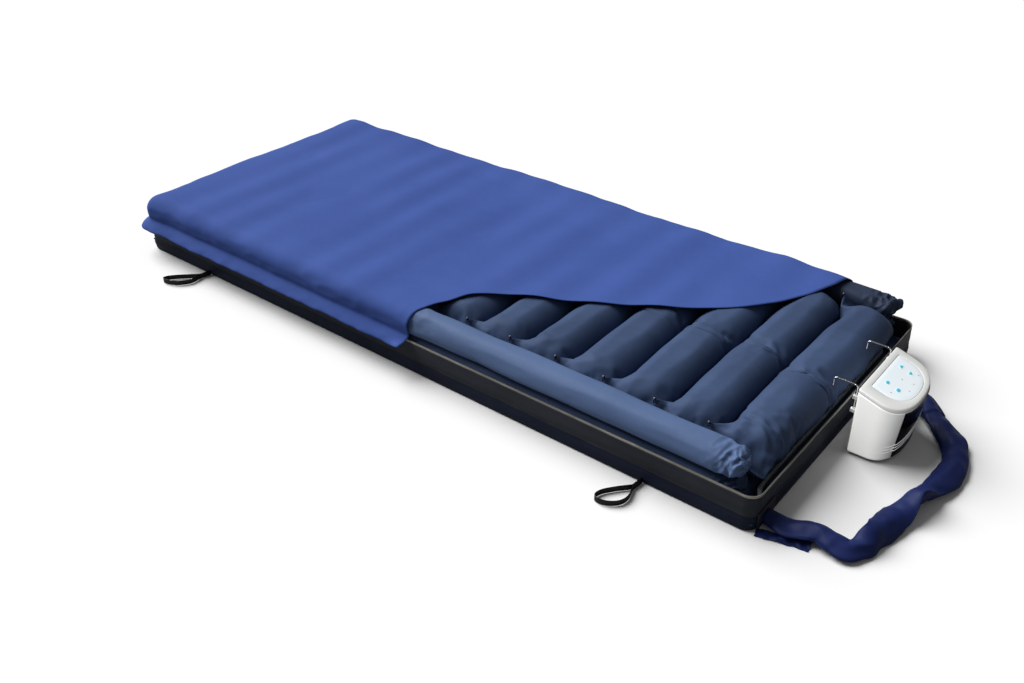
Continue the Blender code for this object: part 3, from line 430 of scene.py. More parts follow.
TAPE_LOW, TAPE_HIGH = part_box("zip_tape")[0].z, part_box("zip_tape")[1].z
TAPE_OUT = -0.0003
TAPE_THICKNESS = 0.0015
TOOTH_PITCH = 0.0032
TOOTH_SIZE = (0.0016, 0.0014, 0.0019)
TAPE_GREY = tone(176, 172, 164)
TAPE_DEEP = tone(140, 137, 130)


def make_plastic_group():
    """Moulded plastic: a colour with faint scuffs, roughness that drifts a little, and a fine
    grain as height."""
    group, given, made = node_group(
        "moulded_plastic",
        (
            ("Colour", "NodeSocketColor", (0.5, 0.5, 0.5, 1)),
            ("Scuffed", "NodeSocketColor", (0.6, 0.6, 0.6, 1)),
            ("Grain Scale", "NodeSocketFloat", 900.0),
            ("Roughness", "NodeSocketFloat", 0.4),
        ),
        SURFACE_OUTPUTS,
    )
    spot = group.nodes.new("ShaderNodeTexCoord").outputs["Object"]
    haze = noise_at(group, spot, 22.0, 4.0, 0.6)
    scuff = maths(group, "MULTIPLY", maths(group, "POWER", haze, 4.0), 1.6)
    share = maths(group, "MINIMUM", scuff, 1.0)
    colour = mixed(group, share, given.outputs["Colour"], given.outputs["Scuffed"])
    group.links.new(colour, made.inputs["Colour"])
    smoothest = maths(group, "SUBTRACT", given.outputs["Roughness"], 0.06)
    group.links.new(maths(group, "MULTIPLY_ADD", haze, 0.12, smoothest), made.inputs["Roughness"])
    group.links.new(noise_at(group, spot, given.outputs["Grain Scale"], 2.0), made.inputs["Height"])
    return group


PLASTIC_GROUP = make_plastic_group()


def plastic_finish(name, colour, scuffed, roughness, grain=900.0, metallic=0.0, coat=0.0, strength=0.12):
    """Moulded or drawn material made with the plastic group."""
    made, tree, shader = shader_of(name)
    face = effect(
        tree, PLASTIC_GROUP, Colour=colour, Scuffed=scuffed, Grain_Scale=grain, Roughness=roughness
    )
    tree.links.new(face.outputs["Colour"], shader.inputs["Base Color"])
    tree.links.new(face.outputs["Roughness"], shader.inputs["Roughness"])
    shader.inputs["Metallic"].default_value = metallic
    shader.inputs["Coat Weight"].default_value = coat
    shader.inputs["Coat Roughness"].default_value = 0.05
    relief(tree, shader, face.outputs["Height"], strength, 0.0004)
    return made


def blocks(name, centres, along, size):
    """Many small blocks, each a box about its centre, turned so that its length follows along."""
    corner = np.array([(a, b, c) for a in (-1, 1) for b in (-1, 1) for c in (-1, 1)]) * np.array(size) / 2
    side = np.stack([-along[:, 1], along[:, 0]], -1)
    x = centres[:, None, 0] + corner[None, :, 0] * along[:, None, 0] + corner[None, :, 1] * side[:, None, 0]
    y = centres[:, None, 1] + corner[None, :, 0] * along[:, None, 1] + corner[None, :, 1] * side[:, None, 1]
    z = centres[:, None, 2] + corner[None, :, 2]
    faces = np.array([(0, 1, 3, 2), (4, 6, 7, 5), (0, 4, 5, 1), (2, 3, 7, 6), (0, 2, 6, 4), (1, 5, 7, 3)])
    quads = (faces[None] + 8 * np.arange(len(centres))[:, None, None]).reshape(-1, 4)
    mesh = bpy.data.meshes.new(name)
    mesh.from_pydata(np.stack([x, y, z], -1).reshape(-1, 3).tolist(), [], quads.tolist())
    piece = bpy.data.objects.new(name, mesh)
    scene.collection.objects.link(piece)
    return piece


def moulded_copy(node, name, finish, body=ROOT, edge=0.0006, steps=2):
    """A CAD node's shape with its loose triangles merged and its edges rounded like a moulding."""
    mesh = nodes[node].data.copy()
    mesh.materials.clear()
    mesh.name = name
    form = bmesh.new()
    form.from_mesh(mesh)
    bmesh.ops.remove_doubles(form, verts=form.verts, dist=1e-6)
    bmesh.ops.dissolve_limit(form, angle_limit=math.radians(1), verts=form.verts, edges=form.edges)
    form.to_mesh(mesh)
    form.free()
    mesh.materials.append(finish)
    piece = bpy.data.objects.new(name, mesh)
    scene.collection.objects.link(piece)
    rounding = piece.modifiers.new("rounded_edges", "BEVEL")
    rounding.width = edge
    rounding.segments = steps
    rounding.limit_method = "ANGLE"
    rounding.angle_limit = math.radians(40)
    mesh.shade_smooth()
    mesh.set_sharp_from_angle(angle=math.radians(38))
    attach(piece, body)
    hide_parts(node)
    return piece


def zip_tape_skin():
    """A thin rectangle carried round the footprint, its faces waved like stitched tape."""
    high = TAPE_HIGH - 0.0008
    steps = (
        (0.0, TAPE_LOW), (0.0003, (TAPE_LOW + high) / 2), (0.0, high),
        (-0.0005, high + 0.0006), (-TAPE_THICKNESS, high), (-TAPE_THICKNESS, TAPE_LOW),
    )
    out, z = np.array(steps).T
    x, y, way_x, way_y = footprint(out + TAPE_OUT, straight=220, cross=100)
    wave = 0.0004 * soft_waves(x, y, 0.16, 11)
    lift = 0.0003 * soft_waves(x, y, 0.05, 12)
    z = z[:, None] + lift * (z[:, None] > TAPE_LOW + 0.001)
    points = np.stack([x + way_x * wave, y + way_y * wave, z], -1)
    return skin("zip_tape_cloth", points, loop_rows=True, loop_columns=True)


def zip_teeth():
    """Teeth at an even pitch on the tape's upper edge, all the way round."""
    x, y, way_x, way_y = footprint(TAPE_OUT - TAPE_THICKNESS / 2, straight=600, cross=260, arc=30)
    line = np.stack([x[0], y[0]], -1)
    line = np.concatenate([line, line[:1]])
    along = np.concatenate([[0], np.cumsum(np.linalg.norm(np.diff(line, axis=0), axis=1))])
    at = np.arange(0, along[-1], TOOTH_PITCH)
    place = np.stack([np.interp(at, along, line[:, k]) for k in (0, 1)], -1)
    ahead = np.stack([np.interp((at + 0.001) % along[-1], along, line[:, k]) for k in (0, 1)], -1)
    way = (ahead - place) / np.linalg.norm(ahead - place, axis=1, keepdims=True)
    z = np.full((len(at), 1), TAPE_HIGH - 0.0004)
    return blocks("zip_teeth", np.concatenate([place, z], 1), way, TOOTH_SIZE)


TAPE_FINISH = cloth_finish("zip_tape_grey", TAPE_DEEP, TAPE_GREY, 0.7, 18.0, 1100.0, 0.2)
DARK_PLASTIC = plastic_finish("dark_moulding", tone(36, 36, 38), tone(66, 66, 68), 0.45)
tape = zip_tape_skin()
tape.data.materials.append(TAPE_FINISH)
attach(tape, ROOT)
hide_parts("zip_tape")
teeth = zip_teeth()
teeth.data.materials.append(plastic_finish("zip_teeth_grey", tone(140, 136, 126), tone(165, 160, 150), 0.4))
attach(teeth, ROOT)
slider = moulded_copy("zip_slider", "zip_slider_moulded", DARK_PLASTIC, "slider", 0.0007, 3)

# ---- Base pad ----------------------------------------------------------------------------------
# The static layer under the cells: one sheet of foam in a dark cloth bag, cut away at the near
# foot corner where the hoses leave.

PAD_LOW, PAD_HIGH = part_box("base_pad")[0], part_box("base_pad")[1]
PAD_NOTCH = (0.047, 0.112)


def pad_skin():
    """A height sheet over the tray's inside: x and y each run edge to edge in a grid, the top
    crowns with the sine of both, and the near foot corner is pressed in for the hoses."""
    u, v = np.meshgrid(np.linspace(-1, 1, 150), np.linspace(-1, 1, 70), indexing="ij")
    x, y = u * (PAD_HIGH.x - 0.0005), v * (PAD_HIGH.y - 0.0005)
    edge = np.minimum(PAD_HIGH.x - np.abs(x), PAD_HIGH.y - np.abs(y))
    lift = np.clip(edge / 0.012, 0, 1) ** 0.5
    notch = blend_in(x, PAD_HIGH.x - PAD_NOTCH[0] - 0.004, PAD_HIGH.x - PAD_NOTCH[0] + 0.002)
    notch = notch * (1 - blend_in(y, -HALF_WIDTH + PAD_NOTCH[1] - 0.002, -HALF_WIDTH + PAD_NOTCH[1] + 0.004))
    middle = (PAD_LOW.z + PAD_HIGH.z) / 2
    half = (PAD_HIGH.z - PAD_LOW.z) / 2 - 0.0008
    waves = 0.0005 * soft_waves(x, y, 0.06, 21) * (1 - notch)
    top = middle + half * lift * (1 - 1.6 * notch) + waves - 0.0006
    bottom = np.full_like(top, PAD_LOW.z + 0.0005)
    upper, lower = np.stack([x, y, top], -1), np.stack([x, y, np.minimum(bottom, top - 0.001)], -1)
    lower[[0, -1]], lower[:, [0, -1]] = upper[[0, -1]], upper[:, [0, -1]]
    return skin("base_pad_cloth", np.concatenate([upper, lower[::-1]]))


CELL_FINISH = cloth_finish(
    "cell_cloth", tone(56, 70, 98), tone(68, 85, 118), 0.55, 5.0, 1000.0, 0.06,
)
pad = pad_skin()
pad.data.materials.append(CELL_FINISH)
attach(pad, ROOT)
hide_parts("base_pad")

# ---- Side bolsters -----------------------------------------------------------------------------
# Two air tubes on each long side, one on the other, welded from coated nylon. The upper near one is
# a lighter steel blue; the upper far one is the same nylon with darker tones, as painted shade. Every end is
# gathered and tucked in, so it crumples.

BOLSTER_WIDTH = 0.077
BOLSTER_MIDDLE = 0.383
BELLY = 0.009
BOLSTER_HEAD, BOLSTER_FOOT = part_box("upper_bolster_near")[0].x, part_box("upper_bolster_near")[1].x


def inflate(pieces, pressure, cap, spare):
    """Lets air into closed cloth forms: Cloth with inner pressure and no gravity for twenty
    frames, with a spare share of cloth that wrinkles. Held vertices stay put, and no vertex goes
    further than cap from where it started."""
    for piece in pieces:
        air = piece.modifiers.new("air", "CLOTH").settings
        air.use_pressure = True
        air.uniform_pressure_force = pressure
        air.vertex_group_mass = "held"
        air.effector_weights.gravity = 0
        air.shrink_min = -spare
        air.quality = 4
    for moment in range(1, 21):
        scene.frame_set(moment)
    view = bpy.context.evaluated_depsgraph_get()
    for piece in pieces:
        count = len(piece.data.vertices)
        before, after = np.empty(3 * count), np.empty(3 * count)
        piece.data.vertices.foreach_get("co", before)
        piece.evaluated_get(view).data.vertices.foreach_get("co", after)
        move = (after - before).reshape(-1, 3)
        share = np.minimum(1, cap / np.maximum(np.linalg.norm(move, axis=1, keepdims=True), 1e-9))
        piece.data.vertices.foreach_set("co", (before.reshape(-1, 3) + move * share).ravel())
        piece.modifiers.remove(piece.modifiers["air"])
        piece.data.update()
    scene.frame_set(1)


def hold(piece, chosen):
    """Marks the vertices that the simulation may not move."""
    where = np.empty(3 * len(piece.data.vertices))
    piece.data.vertices.foreach_get("co", where)
    kept = np.flatnonzero(chosen(*where.reshape(-1, 3).T)).tolist()
    piece.vertex_groups.new(name="held").add(kept, 1.0, "REPLACE")


def kept_within(piece, low, high):
    """Pulls every vertex back between two corners, given as numbers or arrays per vertex."""
    where = np.empty(3 * len(piece.data.vertices))
    piece.data.vertices.foreach_get("co", where)
    where = np.clip(where.reshape(-1, 3), low, high)
    piece.data.vertices.foreach_set("co", where.ravel())
    piece.data.update()


def smoothed(piece):
    """One level of subdivision, alike in the viewport and in a render."""
    finer = piece.modifiers.new("fine_cloth", "SUBSURF")
    finer.levels = finer.render_levels = 1


def squared_off(wave, power):
    """A cosine or sine for a superellipse: its sign times its size to the power 2 / power."""
    return np.sign(wave) * np.abs(wave) ** (2 / power)


def bolster_skin(name, side, low, high, power, seed, ear, belly):
    """A superellipse carried along X. Towards each end it shrinks by a sine, and the shrinking
    stretch is gathered: folds run along it and round the section. ear draws the foot end's outer
    top corner out into a point, and belly lets the outer lower quarter lean out over the wall."""
    x = np.concatenate([
        BOLSTER_HEAD + 0.06 * np.linspace(0, 1, 14)[:-1] ** 1.4,
        np.linspace(BOLSTER_HEAD + 0.06, BOLSTER_FOOT - 0.09, 190)[:-1],
        BOLSTER_FOOT - 0.09 * np.linspace(1, 0, 34) ** 1.25,
    ])[:, None]
    turn = np.linspace(0, 2 * np.pi, 52, endpoint=False)[None]
    from_end = np.minimum(x - BOLSTER_HEAD, BOLSTER_FOOT - x)
    size = 0.12 + 0.88 * np.sin(np.pi / 2 * np.clip(from_end / 0.022, 0, 1)) ** 0.5
    gather = np.exp(-from_end / 0.026)
    tucks = np.exp(-((from_end / 0.050) ** 2))
    across, up = squared_off(np.cos(turn), power), squared_off(np.sin(turn), power)
    ripple = 5 * soft_waves(x, turn * 0.02, 0.05, seed)
    swell = -0.0036 * gather * (1 + np.cos(11 * turn + ripple))
    swell = swell + 0.0085 * tucks * (folds(x * 1.3, turn * 0.024, 0.045, seed + 1) - 0.8)
    swell = swell + 0.0016 * (folds(x * 0.12, turn * 0.030, 0.050, seed + 5) - 0.7) * (up > -0.5)
    swell = swell + 0.0005 * soft_waves(x * 0.35, turn * 0.03, 0.07, seed + 2) - 0.0006
    half_w, half_h, middle = BOLSTER_WIDTH / 2, (high - low) / 2, (high + low) / 2
    reach = size * (1 + swell / half_h)
    drawn = ear * np.exp(-(BOLSTER_FOOT - x) / 0.022) * blend_in(side * across, 0.1, 1.0) * (up > -0.4)
    leaning = belly * size * np.clip(side * across, 0, 1) * blend_in(-up, -0.5, 0.7)
    y = side * (BOLSTER_MIDDLE + 0.008 * drawn + leaning) + half_w * reach * across
    z = middle + half_h * reach * up - 0.006 * (1 - size) * gather + 0.010 * drawn
    x = x + 0.002 * gather * soft_waves(turn * 0.02, x, 0.02, seed + 3) + 0.014 * drawn
    return skin(name, np.stack([x, y, z], -1), loop_columns=True, fill_ends=True)


NEAR_FINISH = cloth_finish(
    "near_bolster_cloth", tone(78, 97, 134), tone(90, 111, 150), 0.50, 3.0, 1000.0, 0.09,
)
# Painted shade: the far upper bolster's cloth is given far darker tones than the near one's to stand for the
# shade it lies in.
FAR_SHADED_FINISH = cloth_finish(
    "far_bolster_cloth_painted_shade", tone(38, 46, 64), tone(52, 63, 85), 0.52, 4.0, 1000.0, 0.09,
)
bolsters = []
for side, word, upper_finish in ((-1, "near", NEAR_FINISH), (1, "far", FAR_SHADED_FINISH)):
    for level, power, finish in (("lower", 3.0, CELL_FINISH), ("upper", 2.3, upper_finish)):
        low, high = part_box(f"{level}_bolster_{word}")
        seed = 30 + 7 * side + len(level + word)
        ear = 1.0 if word == "far" else 0.3
        shape = f"{level}_bolster_{word}_cloth"
        belly = BELLY * (level == "upper")
        tube = bolster_skin(shape, side, low.z, high.z, power, seed, ear * (level == "upper"), belly)
        hold(tube, lambda x, y, z: (x < BOLSTER_HEAD + 0.003) | (x > BOLSTER_FOOT - 0.002))
        tube.data.materials.append(finish)
        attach(tube, ROOT)
        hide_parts(f"{level}_bolster_{word}")
        bolsters.append((tube, low, high, side))
inflate([tube for tube, low, high, side in bolsters], 2.0, 0.005, 0.03)
for tube, low, high, side in bolsters:
    kept_within(tube, (-2, low.y - BELLY, low.z - 0.0002), (2, high.y + BELLY, high.z + 0.003))
    smoothed(tube)

# ---- Air cells ---------------------------------------------------------------------------------
# Fifteen crosswise air tubes of navy coated nylon. Each end is welded shut on a slant, and the
# weld's head corner is drawn up and out into a tab with a pale stud. A baffle welded inside pulls a
# crease round every cell.

CELL_COUNT = 15
CELL_HEAD = -0.985
CELL_PITCH = 0.13133
CELL_LOW, CELL_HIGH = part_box("air_cell_08")[0].z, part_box("air_cell_08")[1].z
CELL_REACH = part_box("air_cell_08")[1].y
CELL_HALF = (CELL_PITCH - 0.0012) / 2
END_LENGTH = 0.088
WELD_HALF, WELD_SHIFT = 0.070, -0.013
WELD_LOW, WELD_RISE = 0.070, 0.083
CREASE_MIDDLE = -0.040


def cell_centre(number):
    """Where a cell's middle stands along the mattress."""
    return CELL_HEAD + CELL_PITCH * (number - 0.5)


def crease_place(number):
    """Where a cell's crease crosses its crown: the middle, moved a little to and fro."""
    return CREASE_MIDDLE + 0.016 * math.sin(2.4 * number)


def cell_skin(name, number):
    """An ellipse carried along Y. Near an end every point of the ring goes straight to its place
    on a slanting weld, its height soon and its width late, so the end stands like a boot's toe
    with one corner drawn out. Puckers and folds run out from the weld."""
    seed = 100 + 9 * number
    part = np.linspace(0, 1, 92)
    even = CELL_REACH * (0.55 * (2 * part - 1) - 0.45 * np.cos(np.pi * part))
    crease = crease_place(number)
    even = even[np.abs(even - crease) > 0.013]
    y = np.sort(np.concatenate([even, crease + np.linspace(-0.012, 0.012, 17)]))[:, None]
    turn = np.linspace(0, 2 * np.pi, 60, endpoint=False)[None]
    across, up = np.cos(turn), np.sin(turn)
    near_end = np.clip((CELL_REACH - np.abs(y)) / END_LENGTH, 0, 1)
    drawn = blend_in(-across, 0.2, 1.0)
    tall = np.sin(np.pi / 2 * np.clip(near_end / (0.72 + 0.28 * drawn), 0, 1)) ** (0.62 + 1.2 * drawn)
    wide = np.sin(np.pi / 2 * near_end) ** (1.3 + 0.9 * drawn)
    middle, half = (CELL_LOW + CELL_HIGH) / 2, (CELL_HIGH - CELL_LOW) / 2
    pucker = (1 - near_end) ** 1.2 * near_end**0.5
    waves = 1.6 * soft_waves(y, turn * 0.02, 0.09, seed)
    out = 0.0030 * pucker * np.cos((8 + number % 3) * turn + number + waves)
    out = out + 0.0060 * pucker * (folds(y * 1.2, turn * 0.05, 0.060, seed + 1) - 0.75)
    crumple = (number == CELL_COUNT) * blend_in(-y, 0.17, 0.30)
    out = out + 0.0085 * crumple * (folds(y * 1.5, turn * 0.045, 0.050, seed + 5) - 0.75)
    ridge = bump(y, crease + 0.030, 0.030) * (0.3 + 0.7 * (number in (14, 15, 9)))
    out = out + 0.0065 * ridge * (folds(y * 1.4, turn * 0.026, 0.050, seed + 3) - 0.72)
    out = out + 0.0009 * soft_waves(y, turn * 0.05, 0.13, seed + 4) - 0.0010
    weld_x = WELD_SHIFT + WELD_HALF * across
    weld_z = WELD_LOW + WELD_RISE * ((1 - across) / 2) ** 2.2 + 0.0012 * up
    ring_x = (CELL_HALF + out) * across
    ring_z = middle + (half + out) * up
    x = cell_centre(number) + weld_x + (ring_x - weld_x) * wide
    z = np.maximum(weld_z + (ring_z - weld_z) * tall, CELL_LOW)
    grid = np.stack([x, np.broadcast_to(y, x.shape), z], -1)
    return skin(name, grid, loop_columns=True, fill_ends=True)


def crease_in(piece, number):
    """Presses the crease in along the normals: a narrow groove that bows along the mattress, with
    a low roll on its far side."""
    count = len(piece.data.vertices)
    where, normal = np.empty(3 * count), np.empty(3 * count)
    piece.data.vertices.foreach_get("co", where)
    piece.data.vertex_normals.foreach_get("vector", normal)
    where, normal = where.reshape(-1, 3), normal.reshape(-1, 3)
    across = (where[:, 0] - cell_centre(number)) / CELL_HALF
    line = crease_place(number) + 0.004 * across**2
    deep = 0.0042 if number == 13 else 0.0024
    push = -deep * bump(where[:, 1], line, 0.0022) + 0.0012 * bump(where[:, 1], line + 0.008, 0.005)
    piece.data.vertices.foreach_set("co", (where + normal * push[:, None]).ravel())
    piece.data.update()


cells = []
for number in range(1, CELL_COUNT + 1):
    cell = cell_skin(f"air_cell_{number:02d}_cloth", number)
    hold(cell, lambda x, y, z: (np.abs(y) > CELL_REACH - 0.006) | (z < CELL_LOW + 0.0015))
    cell.data.materials.append(CELL_FINISH)
    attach(cell, ROOT)
    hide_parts(f"air_cell_{number:02d}")
    cells.append(cell)
inflate(cells, 2.5, 0.006, 0.035)
for number, cell in enumerate(cells, 1):
    centre, room = cell_centre(number), CELL_PITCH / 2 + 0.0012
    low = (max(centre - 0.095, CELL_HEAD), -CELL_REACH, CELL_LOW)
    high = (centre + room + 0.004 * (number == CELL_COUNT), CELL_REACH, CELL_HIGH + 0.0012)
    kept_within(cell, low, high)
    crease_in(cell, number)
    smoothed(cell)


def end_tabs(name, size, shift):
    """One small block at the drawn-out corner of each weld but the first cell's, on both sides."""
    centre = cell_centre(np.arange(2, CELL_COUNT + 1))
    x = np.tile(centre + WELD_SHIFT - WELD_HALF + shift[0], 2)
    y = np.repeat([-CELL_REACH + shift[1], CELL_REACH - shift[1]], len(centre))
    z = np.full_like(x, WELD_LOW + WELD_RISE + shift[2])
    lean = np.tile([[0.94, 0.34]], (len(x), 1))
    return blocks(name, np.stack([x, y, z], -1), lean, size)


TAB_FINISH = cloth_finish("tab_cloth", tone(24, 28, 40), tone(36, 42, 58), 0.5, 9.0, 1000.0)
STUD_FINISH = plastic_finish("stud_pale", tone(196, 198, 204), tone(170, 172, 178), 0.3)
for name, size, shift, finish in (
    ("weld_tabs", (0.0060, 0.0016, 0.0130), (0.001, 0.007, -0.003), TAB_FINISH),
    ("weld_studs", (0.0026, 0.0036, 0.0026), (-0.001, 0.0070, 0.0020), STUD_FINISH),
):
    tabs = end_tabs(name, size, shift)
    tabs.data.materials.append(finish)
    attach(tabs, ROOT)

# ---- Top cover ---------------------------------------------------------------------------------
# A loose stretch cover of polyurethane-coated knit over the head half and the far side, cut away
# in a long S across the foot half. Below a seam its hem flares out as a flap over the zip.

COVER_EDGE = (
    (0.060, -0.470), (0.068, -0.425), (0.077, -0.385), (0.101, -0.324), (0.165, -0.232), (0.375, -0.114),
    (0.560, -0.001), (0.700, 0.130), (0.790, 0.290), (0.822, 0.400), (0.830, 0.470),
)
COVER_PROFILE = (
    (0.0280, 0.0770), (0.0272, 0.0788), (0.0225, 0.0845), (0.0160, 0.0905), (0.0095, 0.0955),
    (0.0045, 0.0990), (0.0004, 0.1015), (0.0000, 0.1050), (0.0022, 0.1150), (0.0030, 0.1304),
)
SHOULDER_RADIUS = 0.047
COVER_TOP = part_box("top_cover")[1].z
COVER_CLOTH = 0.0015


def curve_through(points, step):
    """Points about step apart along the Catmull-Rom curve through the given points."""
    given = np.array(points, float)
    ends = np.concatenate([[2 * given[0] - given[1]], given, [2 * given[-1] - given[-2]]])
    a, b, c, d = (ends[k : len(ends) - 3 + k, None] for k in range(4))
    t = np.linspace(0, 1, 24, endpoint=False)[None, :, None]
    fine = 0.5 * (2 * b + (c - a) * t + (2 * a - 5 * b + 4 * c - d) * t**2 + (3 * b - a - 3 * c + d) * t**3)
    fine = np.concatenate([fine.reshape(-1, given.shape[1]), given[-1:]])
    along = np.concatenate([[0], np.cumsum(np.linalg.norm(np.diff(fine, axis=0), axis=1))])
    at = np.linspace(0, along[-1], max(2, round(along[-1] / step)) + 1)
    return np.stack([np.interp(at, along, fine[:, k]) for k in range(given.shape[1])], -1)


def thicken(piece, cloth):
    """Gives a sheet the thickness of its cloth, on the inner side."""
    thick = piece.modifiers.new("cloth_thickness", "SOLIDIFY")
    thick.thickness = cloth
    thick.offset = -1.0


def cover_skin():
    """Rows of a U: from the cut on the near side, round the head end and back to the cut on the
    far side. Rows climb the wall, turn over the shoulder and close in to the centre line."""
    wall = curve_through(COVER_PROFILE, 0.0045)
    lean = np.linspace(0, np.pi / 2, 14)[1:]
    edge, rise = wall[-1][0], COVER_TOP - COVER_PROFILE[-1][1]
    bend = edge - SHOULDER_RADIUS * (1 - np.cos(lean))
    shoulder = np.stack([bend, COVER_PROFILE[-1][1] + rise * np.sin(lean)], -1)
    inward = np.linspace(shoulder[-1][0], -HALF_WIDTH, 44)[1:]
    top = np.stack([inward, np.full_like(inward, COVER_TOP)], -1)
    out, z = (part[:, None] for part in np.concatenate([wall, shoulder, top]).T)
    upright = np.concatenate([np.ones(len(wall)), np.cos(lean), np.zeros(len(inward))])[:, None]
    flat = np.sqrt(np.maximum(1 - upright**2, 0))

    half_x, half_y = HALF_LENGTH + out, HALF_WIDTH + out
    radius = np.maximum(CORNER_RADIUS + np.where(out > 0, 1.0, 0.6) * out, 0.004)
    radius = np.minimum(radius, np.maximum(half_y, 0))
    cut = curve_through(COVER_EDGE, 0.01)
    near_cut = np.interp(-half_y, cut[:, 1], cut[:, 0])
    far_cut = np.interp(half_y, cut[:, 1], cut[:, 0])
    run, cross = np.linspace(0, 1, 170)[None], np.linspace(-1, 1, 60)[None]
    arc = np.linspace(0, np.pi / 2, 12)[None, 1:-1]
    corner_x, corner_y = -(half_x - radius), half_y - radius
    x = np.concatenate([
        near_cut + (corner_x - near_cut) * run, corner_x - radius * np.sin(arc), -half_x + 0 * cross,
        corner_x - radius * np.sin(arc[:, ::-1]), corner_x + (far_cut - corner_x) * run,
    ], 1)
    y = np.concatenate([
        -half_y + 0 * run, -corner_y - radius * np.cos(arc), corner_y * cross,
        corner_y + radius * np.cos(arc[:, ::-1]), half_y + 0 * run,
    ], 1)
    way_x = np.concatenate([0 * run, -np.sin(arc), -1 + 0 * cross, -np.sin(arc[:, ::-1]), 0 * run], 1)
    way_y = np.concatenate([-1 + 0 * run, -np.cos(arc), 0 * cross, np.cos(arc[:, ::-1]), 1 + 0 * run], 1)

    cells = 0.5 + 0.5 * np.cos(2 * np.pi * (x + 0.985) / CELL_PITCH + np.pi)
    top_push = 0.0036 * cells * (0.8 + 0.5 * soft_waves(x, y, 0.50, 60))
    top_push = top_push + 0.0030 * (1 + soft_waves(x, y * 0.6, 0.36, 61))
    top_push = top_push + 0.0011 * soft_waves(x * 0.25, y, 0.12, 62)
    top_push = top_push + 0.0012 * bump(y, 0.362 + 0.006 * np.sin(3 * x), 0.007) * blend_in(x, -0.75, -0.3)
    top_push = top_push + 0.0006 * bump(-y, 0.30, 0.07) * soft_waves(x * 0.12, y, 0.05, 63)
    level = z + 0 * x
    wall_push = 0.0012 * soft_waves(x + y, level * 1.5, 0.20, 64)
    wall_push = wall_push + 0.0009 * folds(x + 0.4 * y, level * 3, 0.12, 65)
    hem = blend_in(-level, -0.101, -0.080)
    wall_push = wall_push + 0.0012 * hem * soft_waves(x + y, level * 0.6, 0.13, 66)
    wall_push = wall_push + 0.0007 * hem * soft_waves(x - y, level, 0.045, 67)
    push = flat**2 * np.maximum(top_push, 0.0) + upright * wall_push
    turned = bump(x - near_cut, -0.004, 0.020) * (y < -0.3) * blend_in(-level, -0.095, -0.077)
    push = push + 0.010 * turned
    lift = 0.009 * turned + 0.0005 * hem * soft_waves(x + y, 0 * x, 0.11, 68)
    out_push = upright * push
    points = np.stack([x + way_x * out_push, y + way_y * out_push, z + flat * push + lift], -1)
    return skin("top_cover_cloth", points)


COVER_FINISH = cloth_finish(
    "cover_cloth", tone(62, 84, 150), tone(68, 91, 158), 0.75, 3.0, 800.0, 0.05, 0.2,
)
cover = cover_skin()
thicken(cover, COVER_CLOTH)
cover.data.materials.append(COVER_FINISH)
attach(cover, ROOT)
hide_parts("top_cover")

# ---- Air lines ---------------------------------------------------------------------------------
# Two flexible tubes inside the tray, from the cells' far ends round to the outlet in the foot wall.
# They are the solids of the part, given a clear grey vinyl finish.

HOSE_FINISH = plastic_finish("air_line_vinyl", tone(150, 156, 162), tone(176, 180, 184), 0.32, 300.0)

# ---- Strap loops -------------------------------------------------------------------------------
# Four carrying loops of black woven webbing, folded on edge and welded to the tray by both ends.

LOOP_LENGTH, LOOP_NECK, LOOP_HALF_WIDTH = 0.112, 0.030, 0.034
WEBBING_WIDTH, WEBBING_THICKNESS = 0.015, 0.0016
LOOP_PLACES = (("head", -0.722, -0.060), ("foot", 0.741, -0.035))


def loop_skin(name, side, place, lean, seed):
    """A flat oblong section carried along a teardrop: out from the wall, round the loop whose
    half width is a sine times a power of the half-angle's sine, and back beside the start."""
    half_gap = WEBBING_THICKNESS / 2 + 0.0003
    half_length = (LOOP_LENGTH - LOOP_NECK) / 2
    turn = np.radians(np.linspace(14, 346, 130))
    out = LOOP_LENGTH - half_length - half_length * np.cos(turn)
    across = LOOP_HALF_WIDTH * np.sin(turn) * np.sin(turn / 2) ** 1.2
    across = np.where(across < 0, -1, 1) * np.maximum(np.abs(across), half_gap)
    neck = np.linspace(0.0004, out[0] - 0.001, 14)
    line = np.concatenate([
        np.stack([neck, np.full_like(neck, half_gap)], -1), np.stack([out, across], -1),
        np.stack([neck[::-1], np.full_like(neck, -half_gap)], -1),
    ])
    line[:, 1] += lean * (line[:, 0] / LOOP_LENGTH) ** 2
    way = np.gradient(line, axis=0)
    way = way / np.linalg.norm(way, axis=1, keepdims=True)
    square = np.stack([-way[:, 1], way[:, 0]], -1)
    half = WEBBING_THICKNESS / 2 * 0.92
    rise = np.array([0.03, 0.35, 0.65, 0.97])
    outward = np.concatenate([-np.ones(4), [0], np.ones(4), [0]])
    upward = np.concatenate([rise, [1], rise[::-1], [0]])
    curl = 0.0005 * soft_waves(line[:, 0], line[:, 1], 0.03, seed) * (line[:, 0] > LOOP_NECK)
    x = line[:, None, 0] + square[:, None, 0] * outward * half
    y = line[:, None, 1] + square[:, None, 1] * outward * half + curl[:, None]
    z = 0.0005 + (WEBBING_WIDTH - 0.0006) * upward + 0 * x
    points = np.stack([place + y, side * (HALF_WIDTH + x), z], -1)
    return skin(name, points, loop_columns=True, fill_ends=True)


WEBBING_FINISH = cloth_finish(
    "webbing_black", tone(14, 14, 16), tone(26, 26, 29), 0.34, 20.0, 520.0, 0.4, 0.6, 0.0008
)
for word, place, lean in LOOP_PLACES:
    for side, row in ((-1, "near"), (1, "far")):
        loop = loop_skin(f"strap_loop_{word}_{row}_webbing", side, place, lean, 80 + side + len(word))
        loop.data.materials.append(WEBBING_FINISH)
        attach(loop, ROOT)
        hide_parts(f"strap_loop_{word}_{row}")

# ---- Deflation valve ---------------------------------------------------------------------------
# A flanged plug in the head wall and the quarter-turn knob on it, both moulded nylon.

